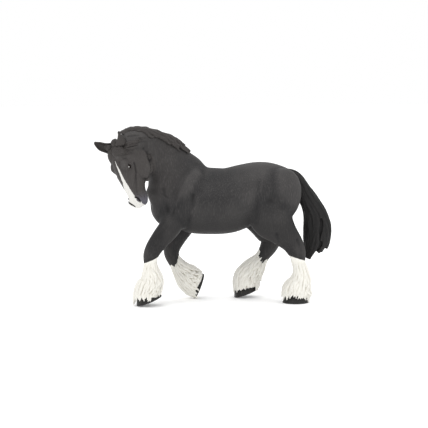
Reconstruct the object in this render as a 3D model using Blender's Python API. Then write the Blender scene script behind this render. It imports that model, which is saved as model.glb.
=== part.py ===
"""A collectible shire horse figure at 1:20, walking with its head turned to its left.

Sizes are millimetres of the figure. The horse faces -X with its left side at -Y, +Z is up and the
ground is z = 0. The last step turns the finished meshes into metres.
"""

import math
import random

import bmesh
import bpy
import numpy as np
from mathutils import Matrix, Vector
from mathutils.kdtree import KDTree

METRES = 0.001
GAP = 0.3            # clearance between touching nodes
SOFT_GAP = 0.5       # the same where the flesh is still to be thinned out after the cut
BODY_VOXEL = 0.5     # grid on which the body's masses melt together
HEAD_VOXEL = 0.36
REACH = 90.0         # length of a cutting block that must pass the whole body
TINY = 0.02          # points nearer than this become one

# Triangles given to each kind of node
TORSO_TRIS = 2100
NECK_TRIS = 700
HEAD_TRIS = 2400
UPPER_LEG_TRIS = 420
LOWER_LEG_TRIS = 260
FEATHER_TRIS = 1050
MANE_TRIS = 1150
TAIL_TRIS = 1350
FORELOCK_TRIS = 420

# Colour and roughness of the moulded, painted plastic
COAT = ((0.045, 0.043, 0.043, 1.0), 0.62)
HAIR = ((0.030, 0.029, 0.029, 1.0), 0.60)
FEATHER = ((0.780, 0.765, 0.710, 1.0), 0.65)
HORN = ((0.022, 0.021, 0.020, 1.0), 0.50)
GLOSS = ((0.010, 0.008, 0.007, 1.0), 0.12)

# Trunk, from breast to rump: x, y, z, half height, half width, lean (below 0, narrower at the top)
TRUNK = [
    (-40.2, 0, 64.5, 9.6, 8.0, -0.10),
    (-35.0, 0, 66.6, 14.4, 12.0, -0.15),
    (-26.0, 0, 68.0, 18.5, 14.5, -0.25),
    (-14.0, 0, 67.8, 22.0, 15.4, -0.35),
    (-2.0, 0, 66.9, 22.1, 16.0, -0.30),
    (10.0, 0, 67.0, 21.7, 16.6, -0.18),
    (21.0, 0, 70.5, 20.5, 16.2, -0.10),
    (32.0, 0, 73.4, 19.3, 15.6, -0.05),
    (42.0, 0, 74.1, 17.1, 14.6, -0.10),
    (51.0, 0, 73.9, 13.0, 10.5, -0.15),
    (57.0, 0, 72.5, 7.0, 5.0, 0.0),
]

# Neck, from withers to poll: x, y, z, half depth, half width, lean (above 0, narrower at the crest)
NECK = [
    (-10.0, 0.0, 66.0, 20.6, 12.0, 0.20),
    (-19.5, 0.0, 75.3, 21.2, 12.6, 0.24),
    (-25.4, -0.2, 84.5, 19.6, 11.4, 0.26),
    (-30.6, -1.4, 92.0, 15.4, 9.6, 0.24),
    (-37.4, -3.4, 97.6, 14.1, 8.0, 0.20),
    (-45.0, -6.9, 102.3, 12.4, 7.2, 0.16),
    (-52.5, -11.4, 105.5, 10.3, 6.6, 0.12),
    (-60.0, -14.2, 105.6, 7.7, 5.8, 0.05),
]

# Legs, from inside the body to the top of the hoof: x, y, z, half depth, half width, lean
FORE_LEFT = [
    (-26.0, -8.5, 62.0, 10.0, 6.0, 0),
    (-28.6, -11.3, 52.5, 7.6, 6.8, 0),
    (-34.5, -12.2, 45.0, 6.6, 6.2, 0),
    (-39.4, -12.6, 38.5, 5.7, 5.4, 0),
    (-42.0, -12.8, 33.0, 5.0, 5.2, 0),
    (-42.6, -12.8, 27.0, 4.0, 4.2, 0),
    (-42.7, -12.8, 22.0, 4.6, 4.7, 0),
    (-41.8, -12.8, 16.0, 6.9, 6.6, 0),
    (-43.8, -12.8, 10.5, 8.0, 7.9, 0),
    (-44.3, -12.8, 6.8, 8.3, 8.3, 0),
]
FORE_RIGHT = [
    (-16.0, 8.5, 60.0, 10.0, 6.0, 0),
    (-18.5, 11.0, 50.0, 8.2, 6.8, 0),
    (-22.4, 11.6, 42.0, 6.5, 6.2, 0),
    (-25.6, 11.8, 35.5, 5.8, 5.4, 0),
    (-26.0, 11.8, 30.0, 5.0, 5.1, 0),
    (-23.4, 11.8, 24.0, 4.4, 4.4, 0),
    (-19.6, 11.8, 18.6, 5.6, 5.0, 0),
    (-14.9, 11.8, 13.8, 8.0, 6.9, 0),
    (-11.3, 11.8, 10.9, 8.4, 8.0, 0),
    (-9.1, 11.8, 9.6, 8.2, 8.2, 0),
]
HIND_LEFT = [
    (36.0, -8.0, 66.0, 17.0, 7.5, 0),
    (38.8, -10.5, 55.0, 14.7, 8.0, 0),
    (45.4, -11.8, 46.5, 9.7, 7.0, 0),
    (51.4, -12.2, 39.5, 7.2, 5.8, 0),
    (54.4, -12.4, 33.5, 6.0, 5.2, 0),
    (55.7, -12.4, 27.0, 4.5, 4.2, 0),
    (57.0, -12.4, 20.5, 4.3, 4.6, 0),
    (56.4, -12.4, 14.5, 5.9, 6.4, 0),
    (54.5, -12.4, 9.5, 8.1, 8.0, 0),
    (53.8, -12.4, 6.0, 8.5, 8.4, 0),
]
HIND_RIGHT = [
    (33.0, 8.0, 66.0, 17.0, 7.5, 0),
    (33.8, 10.5, 55.0, 13.2, 8.0, 0),
    (37.2, 11.8, 46.0, 8.7, 7.0, 0),
    (40.9, 12.2, 39.2, 7.2, 5.8, 0),
    (38.8, 12.6, 32.6, 5.6, 5.2, 0),
    (34.4, 12.8, 26.6, 4.5, 4.2, 0),
    (29.5, 12.8, 21.0, 5.7, 5.0, 0),
    (25.8, 12.8, 15.5, 7.6, 6.8, 0),
    (24.4, 12.8, 10.5, 8.1, 8.0, 0),
    (24.6, 12.8, 7.2, 8.2, 8.3, 0),
]
LEGS = {
    "fore_left": FORE_LEFT, "fore_right": FORE_RIGHT,
    "hind_left": HIND_LEFT, "hind_right": HIND_RIGHT,
}

# Where each leg leaves the body: front and rear end, inner and outer y, and the height at both
LEG_ROOTS = {
    "fore_left": (-70.0, -18.0, -2.2, -13.0, 45.0, 54.0),
    "fore_right": (-70.0, -9.0, 2.2, 13.0, 45.0, 54.0),
    "hind_left": (21.0, 80.0, -1.0, -18.0, 49.0, 58.0),
    "hind_right": (21.0, 80.0, 1.0, 18.0, 49.0, 58.0),
}

# Where the white stocking begins on each leg: a point, and the rise of its edge towards the tail (degrees)
STOCKINGS = {
    "fore_left": ((-42.0, -12.8, 30.2), 24.0),
    "fore_right": ((-24.4, 11.8, 26.0), 50.0),
    "hind_left": ((55.0, -12.4, 29.6), -18.0),
    "hind_right": ((34.1, 12.7, 29.1), -71.0),
}

# Hooves: centre of the sole, and how far the heel is lifted (degrees)
HOOF_REACH = 8.8         # sole centre to toe
HOOF_HALF_WIDTH = 7.6
HOOF_HEIGHT = 7.0
HOOF_TOP_SHARE = 0.80    # the wall narrows towards the coronet
HOOF_SETBACK = 1.6       # and leans back
HOOVES = {
    "fore_left": ((-43.2, -12.8, 2.94), 21.0),
    "fore_right": ((-7.4, 11.8, 7.99), 68.0),
    "hind_left": ((53.7, -12.4, -0.15), 0.0),
    "hind_right": ((24.6, 12.8, 2.89), 20.5),
}

# Muscle masses on each side of the body: x, y, z, the three radii and the tilt (degrees about y)
MUSCLES = [
    (-20.5, 7.6, 71.0, 9.0, 8.0, 20.0, 30.0),    # shoulder blade
    (-24.0, 9.4, 59.0, 11.0, 6.6, 9.5, 20.0),    # upper arm
    (-34.4, 5.4, 62.0, 6.2, 6.4, 10.0, -8.0),    # breast
    (44.3, 8.0, 70.4, 13.6, 8.6, 18.6, 12.0),    # haunch
    (33.0, 10.0, 55.6, 7.6, 6.6, 8.6, 20.0),     # stifle
]
SHEATH = ((25.6, 0.0, 49.4), (2.9, 2.1, 2.9))
WITHERS_CUT = ((-6.0, 94.0), (-44.0, 66.5))      # x and z of two points of the cut between neck and torso

# Head pose: the poll, the turn to the left, the tuck of the nose and the roll (degrees)
POLL = (-63.5, -14.5, 104.2)
HEAD_TURN = 39.0
HEAD_TUCK = 10.5
HEAD_ROLL = 18.0
HEAD_SIZE = 0.90         # millimetres to one unit of the head's frame

# Head, from poll to lips, in its own frame: distance down the face, forehead side, throat side,
# half width and lean (above 0, wider at the forehead side)
SKULL = [
    (-3.0, 1.5, -11.0, 4.8, 0.0),
    (1.5, 4.6, -15.0, 6.4, 0.0),
    (7.0, 7.4, -18.6, 7.4, 0.06),
    (13.5, 8.6, -20.4, 8.0, 0.06),
    (20.0, 8.2, -19.4, 7.5, 0.08),
    (26.5, 6.9, -15.6, 6.3, 0.08),
    (33.0, 5.6, -11.2, 5.4, 0.05),
    (38.5, 4.8, -9.8, 5.5, 0.0),
    (43.0, 3.6, -8.8, 5.1, 0.0),
    (46.2, 1.4, -5.4, 3.4, 0.0),
]

# Masses of the head in the same frame: down the face, to the forehead, to the side, and the three radii
HEAD_MASSES = [
    (17.6, -11.8, 5.9, 10.8, 9.0, 3.4),   # cheek
    (6.6, 3.2, 3.8, 6.6, 4.6, 3.6),       # forehead
    (14.6, 3.2, 4.9, 5.0, 3.8, 3.5),      # brow
    (40.6, 1.5, 3.2, 4.0, 3.0, 2.7),      # nostril
    (43.4, -0.2, 0.9, 3.4, 3.2, 3.8),     # upper lip
    (42.0, -6.0, 0.6, 3.6, 2.6, 3.0),     # chin
]

# Strokes that raise or hollow the skin: start, end, reach and height (below 0, a hollow)
HEAD_STROKES = [
    ((11.4, 5.0, 6.4), (14.4, 5.6, 6.6), 1.7, 0.7),        # brow
    ((18.0, 1.6, 6.6), (16.0, 0.8, 6.8), 1.2, 0.35),       # lower lid
    ((7.0, 3.6, 6.0), (8.4, 4.2, 6.2), 2.2, -0.7),         # hollow above the eye
    ((17.4, -3.4, 6.8), (26.0, -8.0, 5.2), 1.2, -0.85),    # groove before the cheek
    ((19.0, 0.4, 6.6), (28.0, -2.0, 5.4), 1.3, 0.55),      # facial crest
    ((21.5, 6.4, 4.2), (33.0, 5.0, 3.6), 1.6, 0.35),       # edge of the nasal bone
    ((24.0, 3.4, 5.6), (33.0, 1.2, 4.8), 2.0, -0.45),      # hollow beside the nose
    ((38.8, 3.4, 4.0), (41.6, 1.0, 4.9), 2.2, 0.7),        # nostril wing
    ((39.6, 2.4, 5.4), (41.2, 0.9, 5.8), 0.9, -1.9),       # nostril
    ((46.5, -2.4, 0.0), (44.4, -3.0, 3.6), 0.6, -0.9),     # mouth, front
    ((44.4, -3.0, 3.6), (38.4, -4.2, 5.2), 0.6, -0.8),     # mouth, side
    ((41.8, -7.8, 0.0), (43.4, -6.6, 0.0), 2.0, 0.6),      # chin
    ((22.0, -15.5, 0.0), (33.0, -8.6, 0.0), 1.8, -0.9),    # channel between the jaws
    ((10.0, -17.6, 7.6), (23.0, -16.4, 7.2), 2.0, 0.6),    # rim of the cheek
]
BODY_STROKES = [
    ((-9.5, 12.0, 87.0), (-17.0, 15.5, 66.0), 2.2, -0.7),  # behind the shoulder
    ((-17.0, 15.5, 66.0), (-16.0, 15.0, 57.0), 2.0, -0.8), # behind the upper arm
    ((-35.0, 12.0, 74.0), (-32.5, 14.0, 64.0), 2.0, -0.6), # before the shoulder
    ((-30.0, 14.0, 62.0), (-22.0, 14.8, 59.5), 1.5, -0.5), # point of the shoulder
    ((-38.0, 0.0, 72.0), (-36.5, 0.0, 58.0), 1.8, -1.1),   # between the breasts
    ((28.0, 15.4, 84.0), (25.5, 15.8, 66.0), 2.6, -0.8),   # flank
    ((25.5, 15.8, 66.0), (22.0, 14.0, 56.0), 2.0, -0.7),   # before the stifle
    ((33.0, 12.0, 86.0), (30.0, 13.0, 90.0), 3.0, 0.5),    # point of the hip
    ((52.5, 11.5, 74.0), (49.5, 15.0, 58.0), 1.8, -0.6),   # behind the thigh
    ((56.0, 0.0, 78.0), (55.0, 0.0, 52.0), 2.2, -1.4),     # between the buttocks
    ((-40.0, 14.5, 92.0), (-37.0, 12.0, 78.0), 2.2, -0.8), # groove of the neck
    ((-33.0, 18.5, 52.0), (-39.5, 18.0, 40.0), 1.3, -0.6), # forearm, left
    ((-20.0, 18.0, 50.0), (-24.0, 17.6, 39.0), 1.3, -0.6), # forearm, right
    ((50.0, 17.5, 46.0), (55.5, 16.6, 36.0), 1.4, -0.7),   # gaskin, left
    ((40.0, 18.0, 46.0), (42.0, 17.0, 36.0), 1.4, -0.7),   # gaskin, right
]

EYE_PLACE = (16.2, 1.7, 6.7)      # down the face, to the forehead, to the side
EYE_RADIUS = 1.9

# Ears: where they grow in the head's frame, which way they point and open in the world, length, half width
EARS = {
    "ear_left": ((-1.0, 0.6, 5.3), (-0.16, -0.42, 0.88), (-0.35, 0.93, 0.0), 9.3, 3.8),
    "ear_right": ((-0.5, 2.5, -4.8), (-0.96, 0.10, 0.263), (0.0, -1.0, -0.15), 10.8, 3.9),
}
EAR_WALL = 0.9
# Share of the length, share of the width
EAR_SHAPES = {
    "ear_left": [(0.0, 1.0), (0.2, 0.84), (0.45, 0.56), (0.75, 0.32), (0.92, 0.24), (1.0, 0.15)],
    "ear_right": [(0.0, 1.0), (0.28, 0.83), (0.66, 0.70), (0.88, 0.40), (0.96, 0.26), (1.0, 0.12)],
}
EAR_HOOKS = {"ear_left": 0.0, "ear_right": 0.9}       # how far the tip bends up

# Tail: x, y, z, half depth, half width, lean
TAIL = [
    (45.0, 0.0, 84.6, 2.6, 2.6, 0),
    (50.5, 0.2, 83.7, 3.6, 3.4, 0),
    (55.5, 0.5, 80.0, 4.3, 4.0, 0),
    (60.2, 0.9, 73.0, 4.5, 4.3, 0),
    (65.0, 1.3, 66.0, 5.1, 4.7, 0),
    (68.9, 1.6, 57.0, 6.6, 5.2, 0),
    (70.9, 2.0, 47.5, 8.2, 5.6, 0),
    (70.4, 2.2, 38.5, 7.7, 5.0, 0),
    (68.4, 2.2, 31.2, 5.4, 3.8, 0),
]

# Layers of locks on the feather: how many, the station of the root, how high over the sole the tips
# end, how far round from the rear (degrees), the width and the height over the leg at root and tip
FEATHER_LAYERS = [
    (12, 6.9, 4.4, 180.0, 5.4, (-0.9, 0.2)),
    (11, 6.4, 6.0, 172.0, 4.8, (-0.9, 0.6)),
    (8, 5.8, 8.6, 130.0, 3.8, (-0.7, 0.7)),
    (5, 4.9, 11.4, 60.0, 3.0, (-0.7, 0.9)),
]
HEM_STEP = 0.05          # stations; how finely the place of a hem is sought
LAST_HEM = 11.0
# The same on the neck: how many, the station of the first and the last root, the run of a lock, its
# angle at root and tip (180 on the crest, less on the right side), its height over the neck, its width
MANE_LAYERS = [
    (7, 7.0, 4.9, 1.8, (200, 208), (0.0, 0.8), 4.4),
    (8, 7.3, 4.5, 1.6, (186, 188), (0.0, 1.9), 4.8),
    (8, 7.2, 4.2, 1.3, (174, 144), (0.2, 1.9), 5.0),
    (10, 6.9, 3.4, 1.1, (170, 88), (0.3, 0.8), 4.8),
]
MANE_END = 3.05          # station where the last hair lies on the neck
FORELOCK_LOCKS = 8
# On the tail: how many, the stations of root and tip, the width
TAIL_LAYERS = [(7, 0.9, 4.9, 4.2), (8, 2.6, 6.9, 4.8), (8, 4.2, 7.9, 4.6)]


def clear_scene():
    for obj in list(bpy.data.objects):
        bpy.data.objects.remove(obj)


def link_mesh(name, mesh):
    obj = bpy.data.objects.new(name, mesh)
    bpy.context.scene.collection.objects.link(obj)
    return obj


def mesh_object(name, points, faces):
    mesh = bpy.data.meshes.new(name)
    mesh.from_pydata([tuple(map(float, p)) for p in points], [], faces)
    return link_mesh(name, mesh)


def spline(stations, per_span):
    """Rows read from a smooth curve through the stations."""
    rows = np.array(stations, float)
    padded = np.vstack([2 * rows[0] - rows[1], rows, 2 * rows[-1] - rows[-2]])
    found = []
    for i in range(len(rows) - 1):
        a, b, c, d = padded[i:i + 4]
        for t in np.arange(per_span) / per_span:
            found.append(b + 0.5 * t * (c - a + t * (2 * a - 5 * b + 4 * c - d + t * (3 * (b - c) + d - a))))
    found.append(rows[-1])
    return np.array(found)


def unit(v):
    return v / max(np.linalg.norm(v), 1e-9)


class Limb:
    """A smooth tube through stations of x, y, z, half depth, half width and lean."""

    PER_SPAN = 4

    def __init__(self, stations, side=(0.0, 1.0, 0.0), fixed_axes=None):
        self.rows = spline(stations, self.PER_SPAN)
        self.end = len(stations) - 1
        self.side = np.array(side)
        self.fixed_axes = fixed_axes
        self.tangents = np.gradient(self.rows[:, :3], axis=0)

    def ring_axes(self, tangent):
        if self.fixed_axes:
            return self.fixed_axes
        tangent = unit(tangent)
        side = unit(self.side - tangent * (self.side @ tangent))
        return np.cross(tangent, side), side

    def point(self, t, turn, lift=0.0):
        """A point of the surface at t, counted in stations; past the end it runs straight on.

        turn is 0 on the depth axis and 90 degrees on the side axis.
        """
        inside = min(max(t, 0.0), float(self.end))
        k = inside * self.PER_SPAN
        i = min(int(k), len(self.rows) - 2)
        row = self.rows[i] + (k - i) * (self.rows[i + 1] - self.rows[i])
        tangent = self.tangents[i] + (k - i) * (self.tangents[i + 1] - self.tangents[i])
        centre = row[:3] + (t - inside) * self.PER_SPAN * tangent
        front, side = self.ring_axes(tangent)
        c, s = math.cos(math.radians(turn)), math.sin(math.radians(turn))
        return centre + front * (row[3] + lift) * c + side * (row[4] * (1 + row[5] * c) + lift) * s

    def mesh(self, name, sides=28):
        turns = np.arange(sides) * 360.0 / sides
        stops = np.arange(len(self.rows)) / self.PER_SPAN
        return closed_loft(name, [[self.point(t, turn) for turn in turns] for t in stops])


def closed_loft(name, rings):
    """A closed body over rings with the same number of points."""
    sides = len(rings[0])
    points = [p for ring in rings for p in ring]
    faces = []
    for r in range(len(rings) - 1):
        low, high = r * sides, (r + 1) * sides
        faces += [(low + i, low + (i + 1) % sides, high + (i + 1) % sides, high + i) for i in range(sides)]
    faces.append(tuple(range(sides))[::-1])
    faces.append(tuple(range((len(rings) - 1) * sides, len(rings) * sides)))
    obj = mesh_object(name, points, faces)
    bm = bmesh.new()
    bm.from_mesh(obj.data)
    if bm.calc_volume(signed=True) < 0:
        bmesh.ops.reverse_faces(bm, faces=bm.faces)
    bm.to_mesh(obj.data)
    bm.free()
    return obj


def ball(name, matrix, radii, segments=24, rings=14):
    bm = bmesh.new()
    shape = matrix @ Matrix.Diagonal((*radii, 1.0))
    bmesh.ops.create_uvsphere(bm, u_segments=segments, v_segments=rings, radius=1.0, matrix=shape)
    if shape.determinant() < 0:
        bmesh.ops.reverse_faces(bm, faces=bm.faces)
    mesh = bpy.data.meshes.new(name)
    bm.to_mesh(mesh)
    bm.free()
    return link_mesh(name, mesh)


def block(name, matrix, low, high):
    """A box between two corners of the matrix's frame."""
    low, high = np.array(low, float), np.array(high, float)
    bm = bmesh.new()
    shape = matrix @ Matrix.Translation((low + high) / 2) @ Matrix.Diagonal((*(high - low), 1.0))
    bmesh.ops.create_cube(bm, size=1.0, matrix=shape)
    if shape.determinant() < 0:
        bmesh.ops.reverse_faces(bm, faces=bm.faces)
    mesh = bpy.data.meshes.new(name)
    bm.to_mesh(mesh)
    bm.free()
    return link_mesh(name, mesh)


def frame_matrix(origin, x_axis, y_axis, z_axis):
    matrix = Matrix.Identity(4)
    for column, axis in enumerate((x_axis, y_axis, z_axis, origin)):
        for row in range(3):
            matrix[row][column] = float(axis[row])
    return matrix


def drop(objects):
    for obj in objects:
        bpy.data.objects.remove(obj)


def bake(obj):
    """Replaces the object's mesh by its evaluated one."""
    bpy.context.view_layer.update()
    graph = bpy.context.evaluated_depsgraph_get()
    mesh = bpy.data.meshes.new_from_object(obj.evaluated_get(graph))
    obj.modifiers.clear()
    obj.data = mesh
    return obj


def copy_of(obj, name):
    return link_mesh(name, obj.data.copy())


def melt(name, pieces, voxel, smoothing):
    """Joins closed pieces into one skin and softens where they meet."""
    bm = bmesh.new()
    for piece in pieces:
        bm.from_mesh(piece.data)
    mesh = bpy.data.meshes.new(name)
    bm.to_mesh(mesh)
    bm.free()
    drop(pieces)
    obj = link_mesh(name, mesh)
    remesh = obj.modifiers.new("remesh", "REMESH")
    remesh.mode = "VOXEL"
    remesh.voxel_size = voxel
    smooth = obj.modifiers.new("smooth", "SMOOTH")
    smooth.factor = 0.5
    smooth.iterations = smoothing
    return bake(obj)


def read_points(mesh):
    points = np.empty(len(mesh.vertices) * 3)
    normals = np.empty(len(mesh.vertices) * 3)
    mesh.vertices.foreach_get("co", points)
    mesh.vertex_normals.foreach_get("vector", normals)
    return points.reshape(-1, 3), normals.reshape(-1, 3)


def write_points(mesh, points):
    mesh.vertices.foreach_set("co", points.ravel())
    mesh.update()


def sculpt(obj, strokes, to_frame):
    """Raises or hollows the skin along the strokes. to_frame gives the points in the strokes' frame."""
    points, normals = read_points(obj.data)
    local = to_frame(points)
    rise = np.zeros(len(points))
    for start, end, reach, height in strokes:
        a, b = np.array(start), np.array(end)
        share = np.clip((local - a) @ (b - a) / ((b - a) @ (b - a)), 0.0, 1.0)
        apart = np.linalg.norm(local - a - share[:, None] * (b - a), axis=1)
        rise += height * np.exp(-((apart / reach) ** 2))
    write_points(obj.data, points + normals * rise[:, None])


def both_sides(points):
    """The body's own frame, the same on the left and on the right."""
    return points * np.where(points[:, 1:2] < 0, (1.0, -1.0, 1.0), (1.0, 1.0, 1.0))


def thin_out(obj, triangles):
    """Lowers the count of triangles, keeping the form."""
    corners = sum(len(p.vertices) - 2 for p in obj.data.polygons)
    decimate = obj.modifiers.new("decimate", "DECIMATE")
    decimate.ratio = min(1.0, triangles / corners)
    decimate.use_collapse_triangulate = True
    return bake(obj)


def combine(obj, operation, others, solver="MANIFOLD"):
    """Joins, cuts or keeps with the other closed meshes, which are then removed."""
    helpers = bpy.data.collections.new("helpers")
    bpy.context.scene.collection.children.link(helpers)
    for other in others:
        helpers.objects.link(other)
    boolean = obj.modifiers.new(operation, "BOOLEAN")
    boolean.operation = operation
    boolean.operand_type = "COLLECTION"
    boolean.collection = helpers
    boolean.solver = solver
    bake(obj)
    drop(others)
    bpy.data.collections.remove(helpers)
    return obj


def islands_of(bm):
    left = set(bm.verts)
    islands = []
    while left:
        stack = [left.pop()]
        island = set(stack)
        while stack:
            for edge in stack.pop().link_edges:
                for v in edge.verts:
                    if v in left:
                        left.discard(v)
                        island.add(v)
                        stack.append(v)
        islands.append(island)
    return islands


def tidy(obj, weld=TINY):
    """Welds points that all but meet, where that keeps the mesh closed, and leaves the largest surface."""
    bm = bmesh.new()
    bm.from_mesh(obj.data)
    bmesh.ops.triangulate(bm, faces=bm.faces)
    if weld:
        before = bm.copy()
        bmesh.ops.dissolve_degenerate(bm, edges=bm.edges, dist=weld)
        bmesh.ops.remove_doubles(bm, verts=bm.verts, dist=weld)
        bmesh.ops.triangulate(bm, faces=bm.faces)
        closed = all(edge.is_manifold for edge in bm.edges)
        (before if closed else bm).free()
        bm = bm if closed else before
    islands = islands_of(bm)
    if len(islands) > 1:
        sizes = []
        for island in islands:
            faces = {f for v in island for f in v.link_faces}
            sizes.append(abs(sum(f.verts[0].co.dot(f.verts[1].co.cross(f.verts[2].co)) for f in faces)))
        largest = sizes.index(max(sizes))
        for i, island in enumerate(islands):
            if i != largest:
                bmesh.ops.delete(bm, geom=list(island), context="VERTS")
    bm.to_mesh(obj.data)
    bm.free()
    return obj


def draw_apart(obj):
    """Draws points that coincide without being joined a little into the body, so that no sheets touch."""
    points, normals = read_points(obj.data)
    tree = KDTree(len(points))
    for i, point in enumerate(points):
        tree.insert(point, i)
    tree.balance()
    for i, point in enumerate(points.copy()):
        if len(tree.find_range(point, TINY / 4)) > 1:
            points[i] -= normals[i] * TINY / 2
    write_points(obj.data, points)


def grown(obj, by=GAP):
    """A copy whose surface lies this far outside the object's."""
    copy = copy_of(obj, obj.name + "_grown")
    points, normals = read_points(copy.data)
    write_points(copy.data, points + normals * by)
    return copy


def cut_back(obj, *neighbours):
    """Cuts the object back from its neighbours, so that a gap is left."""
    for neighbour in neighbours:
        combine(obj, "DIFFERENCE", [grown(neighbour)])
    return tidy(obj)


def part_off(flesh, name, region, place=None):
    """Takes what lies in the region out of the flesh, as a node of its own, and leaves a gap."""
    node = copy_of(flesh, name)
    combine(node, "INTERSECT", [region(place, 0.0)])
    combine(flesh, "DIFFERENCE", [region(place, GAP)])
    tidy(flesh, weld=0.0)
    return tidy(node, weld=0.0)


def lock(name, path, width, thickness, across):
    """A flat, tapered lock of hair along a path, with a ridge down its middle and a narrow tip."""
    path = np.array(path, float)
    tangents = np.gradient(path, axis=0)
    rings = []
    for i, (p, tangent) in enumerate(zip(path, tangents)):
        share = i / (len(path) - 1)
        swell = 0.7 + 0.6 * share if share < 0.5 else 1.0 - 0.80 * ((share - 0.5) / 0.5) ** 2.2
        outward = unit(np.cross(unit(tangent), across[i]))
        sideways = unit(np.cross(outward, unit(tangent)))
        w, h = width * swell / 2, thickness * max(swell, 0.32) / 2
        rings.append([p + sideways * w, p + outward * h, p - sideways * w, p - outward * h])
    return closed_loft(name, rings)


def surface_lock(limb, span, turns, lifts, width, thickness, wave=0.0, phase=0.0, steps=6):
    """A lock on a limb's surface. span, turns and lifts are its values at the root and at the tip."""
    path, across = [], []
    for k in range(steps):
        share = k / (steps - 1)
        t = span[0] + (span[1] - span[0]) * share
        turn = turns[0] + (turns[1] - turns[0]) * share + wave * math.sin(phase + 5.2 * share)
        lift = lifts[0] + (lifts[1] - lifts[0]) * share
        here = limb.point(t, turn, lift)
        path.append(here)
        across.append(unit(limb.point(t, turn + 4.0, lift) - here))
    return lock("lock", path, width, thickness, across)


def head_axes():
    """Down the face, out of the forehead, and to the horse's left."""
    turn, tuck, roll = (math.radians(angle) for angle in (HEAD_TURN, HEAD_TUCK, HEAD_ROLL))
    facing = np.array((-math.cos(turn), -math.sin(turn), 0.0))
    up = np.array((0.0, 0.0, 1.0))
    level_left = np.cross(up, facing)
    nose_down = -up * math.cos(tuck) - facing * math.sin(tuck)
    forehead = facing * math.cos(tuck) - up * math.sin(tuck)
    down_face = nose_down * math.cos(roll) + level_left * math.sin(roll)
    return down_face, forehead, level_left * math.cos(roll) - nose_down * math.sin(roll)


def head_point(down, forehead, left):
    axes = np.array(head_axes()) * HEAD_SIZE
    return np.array(POLL) + axes[0] * down + axes[1] * forehead + axes[2] * left


def head_matrix(down, forehead, left):
    """A frame at a point of the head: X down the face, Y out of the forehead, Z to the left."""
    return frame_matrix(head_point(down, forehead, left), *(np.array(head_axes()) * HEAD_SIZE))


def in_head_frame(points):
    local = (points - np.array(POLL)) @ np.array(head_axes()).T / HEAD_SIZE
    local[:, 2] = np.abs(local[:, 2])
    return local


def skull_limb(stations=SKULL):
    rows = []
    for down, top, bottom, width, lean in stations:
        depth = (top - bottom) / 2 * HEAD_SIZE
        rows.append((*head_point(down, (top + bottom) / 2, 0.0), depth, width * HEAD_SIZE, lean))
    return Limb(rows, fixed_axes=head_axes()[1:])


def build_head():
    pieces = [skull_limb().mesh("skull")]
    for down, forehead, left, *radii in HEAD_MASSES:
        for side in (-1, 1):
            matrix = head_matrix(down, forehead, side * left)
            pieces.append(ball("mass", matrix, radii))
    head = melt("head", pieces, HEAD_VOXEL, 6)
    sculpt(head, HEAD_STROKES, in_head_frame)
    down, forehead, left = EYE_PLACE
    for side in (-1, 1):
        matrix = head_matrix(down, forehead, side * left)
        eye = ball("eye_left" if side > 0 else "eye_right", matrix, [EYE_RADIUS] * 3, 12, 8)
        socket = ball("socket", matrix, [EYE_RADIUS + GAP / HEAD_SIZE] * 3, 16, 10)
        thin_out(eye, 160)
        combine(head, "DIFFERENCE", [socket])
    thin_out(head, HEAD_TRIS)
    return tidy(head)


def build_ear(name, *neighbours):
    root, points_to, opens_to, length, half_width = EARS[name]
    along = unit(np.array(points_to))
    opening = unit(np.array(opens_to) - along * (np.array(opens_to) @ along))
    side = np.cross(along, opening)
    base = head_point(*root)
    rings = []
    for share, swell in EAR_SHAPES[name]:
        w = half_width * swell
        wall = min(EAR_WALL, w * 0.5)
        centre = base + along * length * share - opening * 0.9 * math.sin(math.pi * share)
        bend = share ** 4 - 0.8 * math.sin(math.pi * share)
        centre = centre + np.array((0.0, 0.0, EAR_HOOKS[name] * bend))
        outer = [(w * math.sin(a), -w * 0.8 * math.cos(a)) for a in np.radians(np.linspace(-105, 105, 8))]
        inner_w = w - wall
        inner = [(inner_w * math.sin(a), -inner_w * 0.75 * math.cos(a)) for a in np.radians((80, 30, -30, -80))]
        rings.append([centre + side * p + opening * q for p, q in outer + inner])
    ear = closed_loft(name, rings)
    return cut_back(ear, *neighbours)


def build_body_flesh():
    pieces = [Limb(TRUNK).mesh("trunk"), Limb(NECK).mesh("neck_tube"), skull_limb(SKULL[:5]).mesh("skull_back")]
    pieces += [Limb(stations).mesh(name) for name, stations in LEGS.items()]
    for x, y, z, rx, ry, rz, tilt in MUSCLES:
        for side in (-1, 1):
            matrix = Matrix.Translation((x, side * y, z)) @ Matrix.Rotation(math.radians(tilt), 4, "Y")
            pieces.append(ball("muscle", matrix, (rx, ry, rz)))
    pieces.append(ball("sheath", Matrix.Translation(SHEATH[0]), SHEATH[1]))
    flesh = melt("torso", pieces, BODY_VOXEL, 10)
    sculpt(flesh, BODY_STROKES, both_sides)
    return flesh


def leg_region(place, margin):
    """What lies under the sloping cut on one side of the body."""
    front, rear, inner, outer, inner_z, outer_z = place
    sign = -1.0 if outer < 0 else 1.0
    rise = (outer_z - inner_z) / abs(outer - inner)
    y0, y1 = inner - sign * margin, sign * REACH / 2
    top = margin * math.hypot(1.0, rise)
    outline = [
        (y0, -REACH / 2), (y1, -REACH / 2),
        (y1, inner_z + rise * abs(y1 - inner) + top), (y0, inner_z + rise * sign * (y0 - inner) + top),
    ]
    return closed_loft("region", [[(x, y, z) for y, z in outline] for x in (front - margin, rear + margin)])


def stocking_region(place, margin):
    """What lies below the edge of the white stocking."""
    centre, rise = place
    matrix = Matrix.Translation(centre) @ Matrix.Rotation(math.radians(-rise), 4, "Y")
    side = REACH / 2
    return block("region", matrix, (-side, -side, -side), (side, side, margin))


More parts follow.
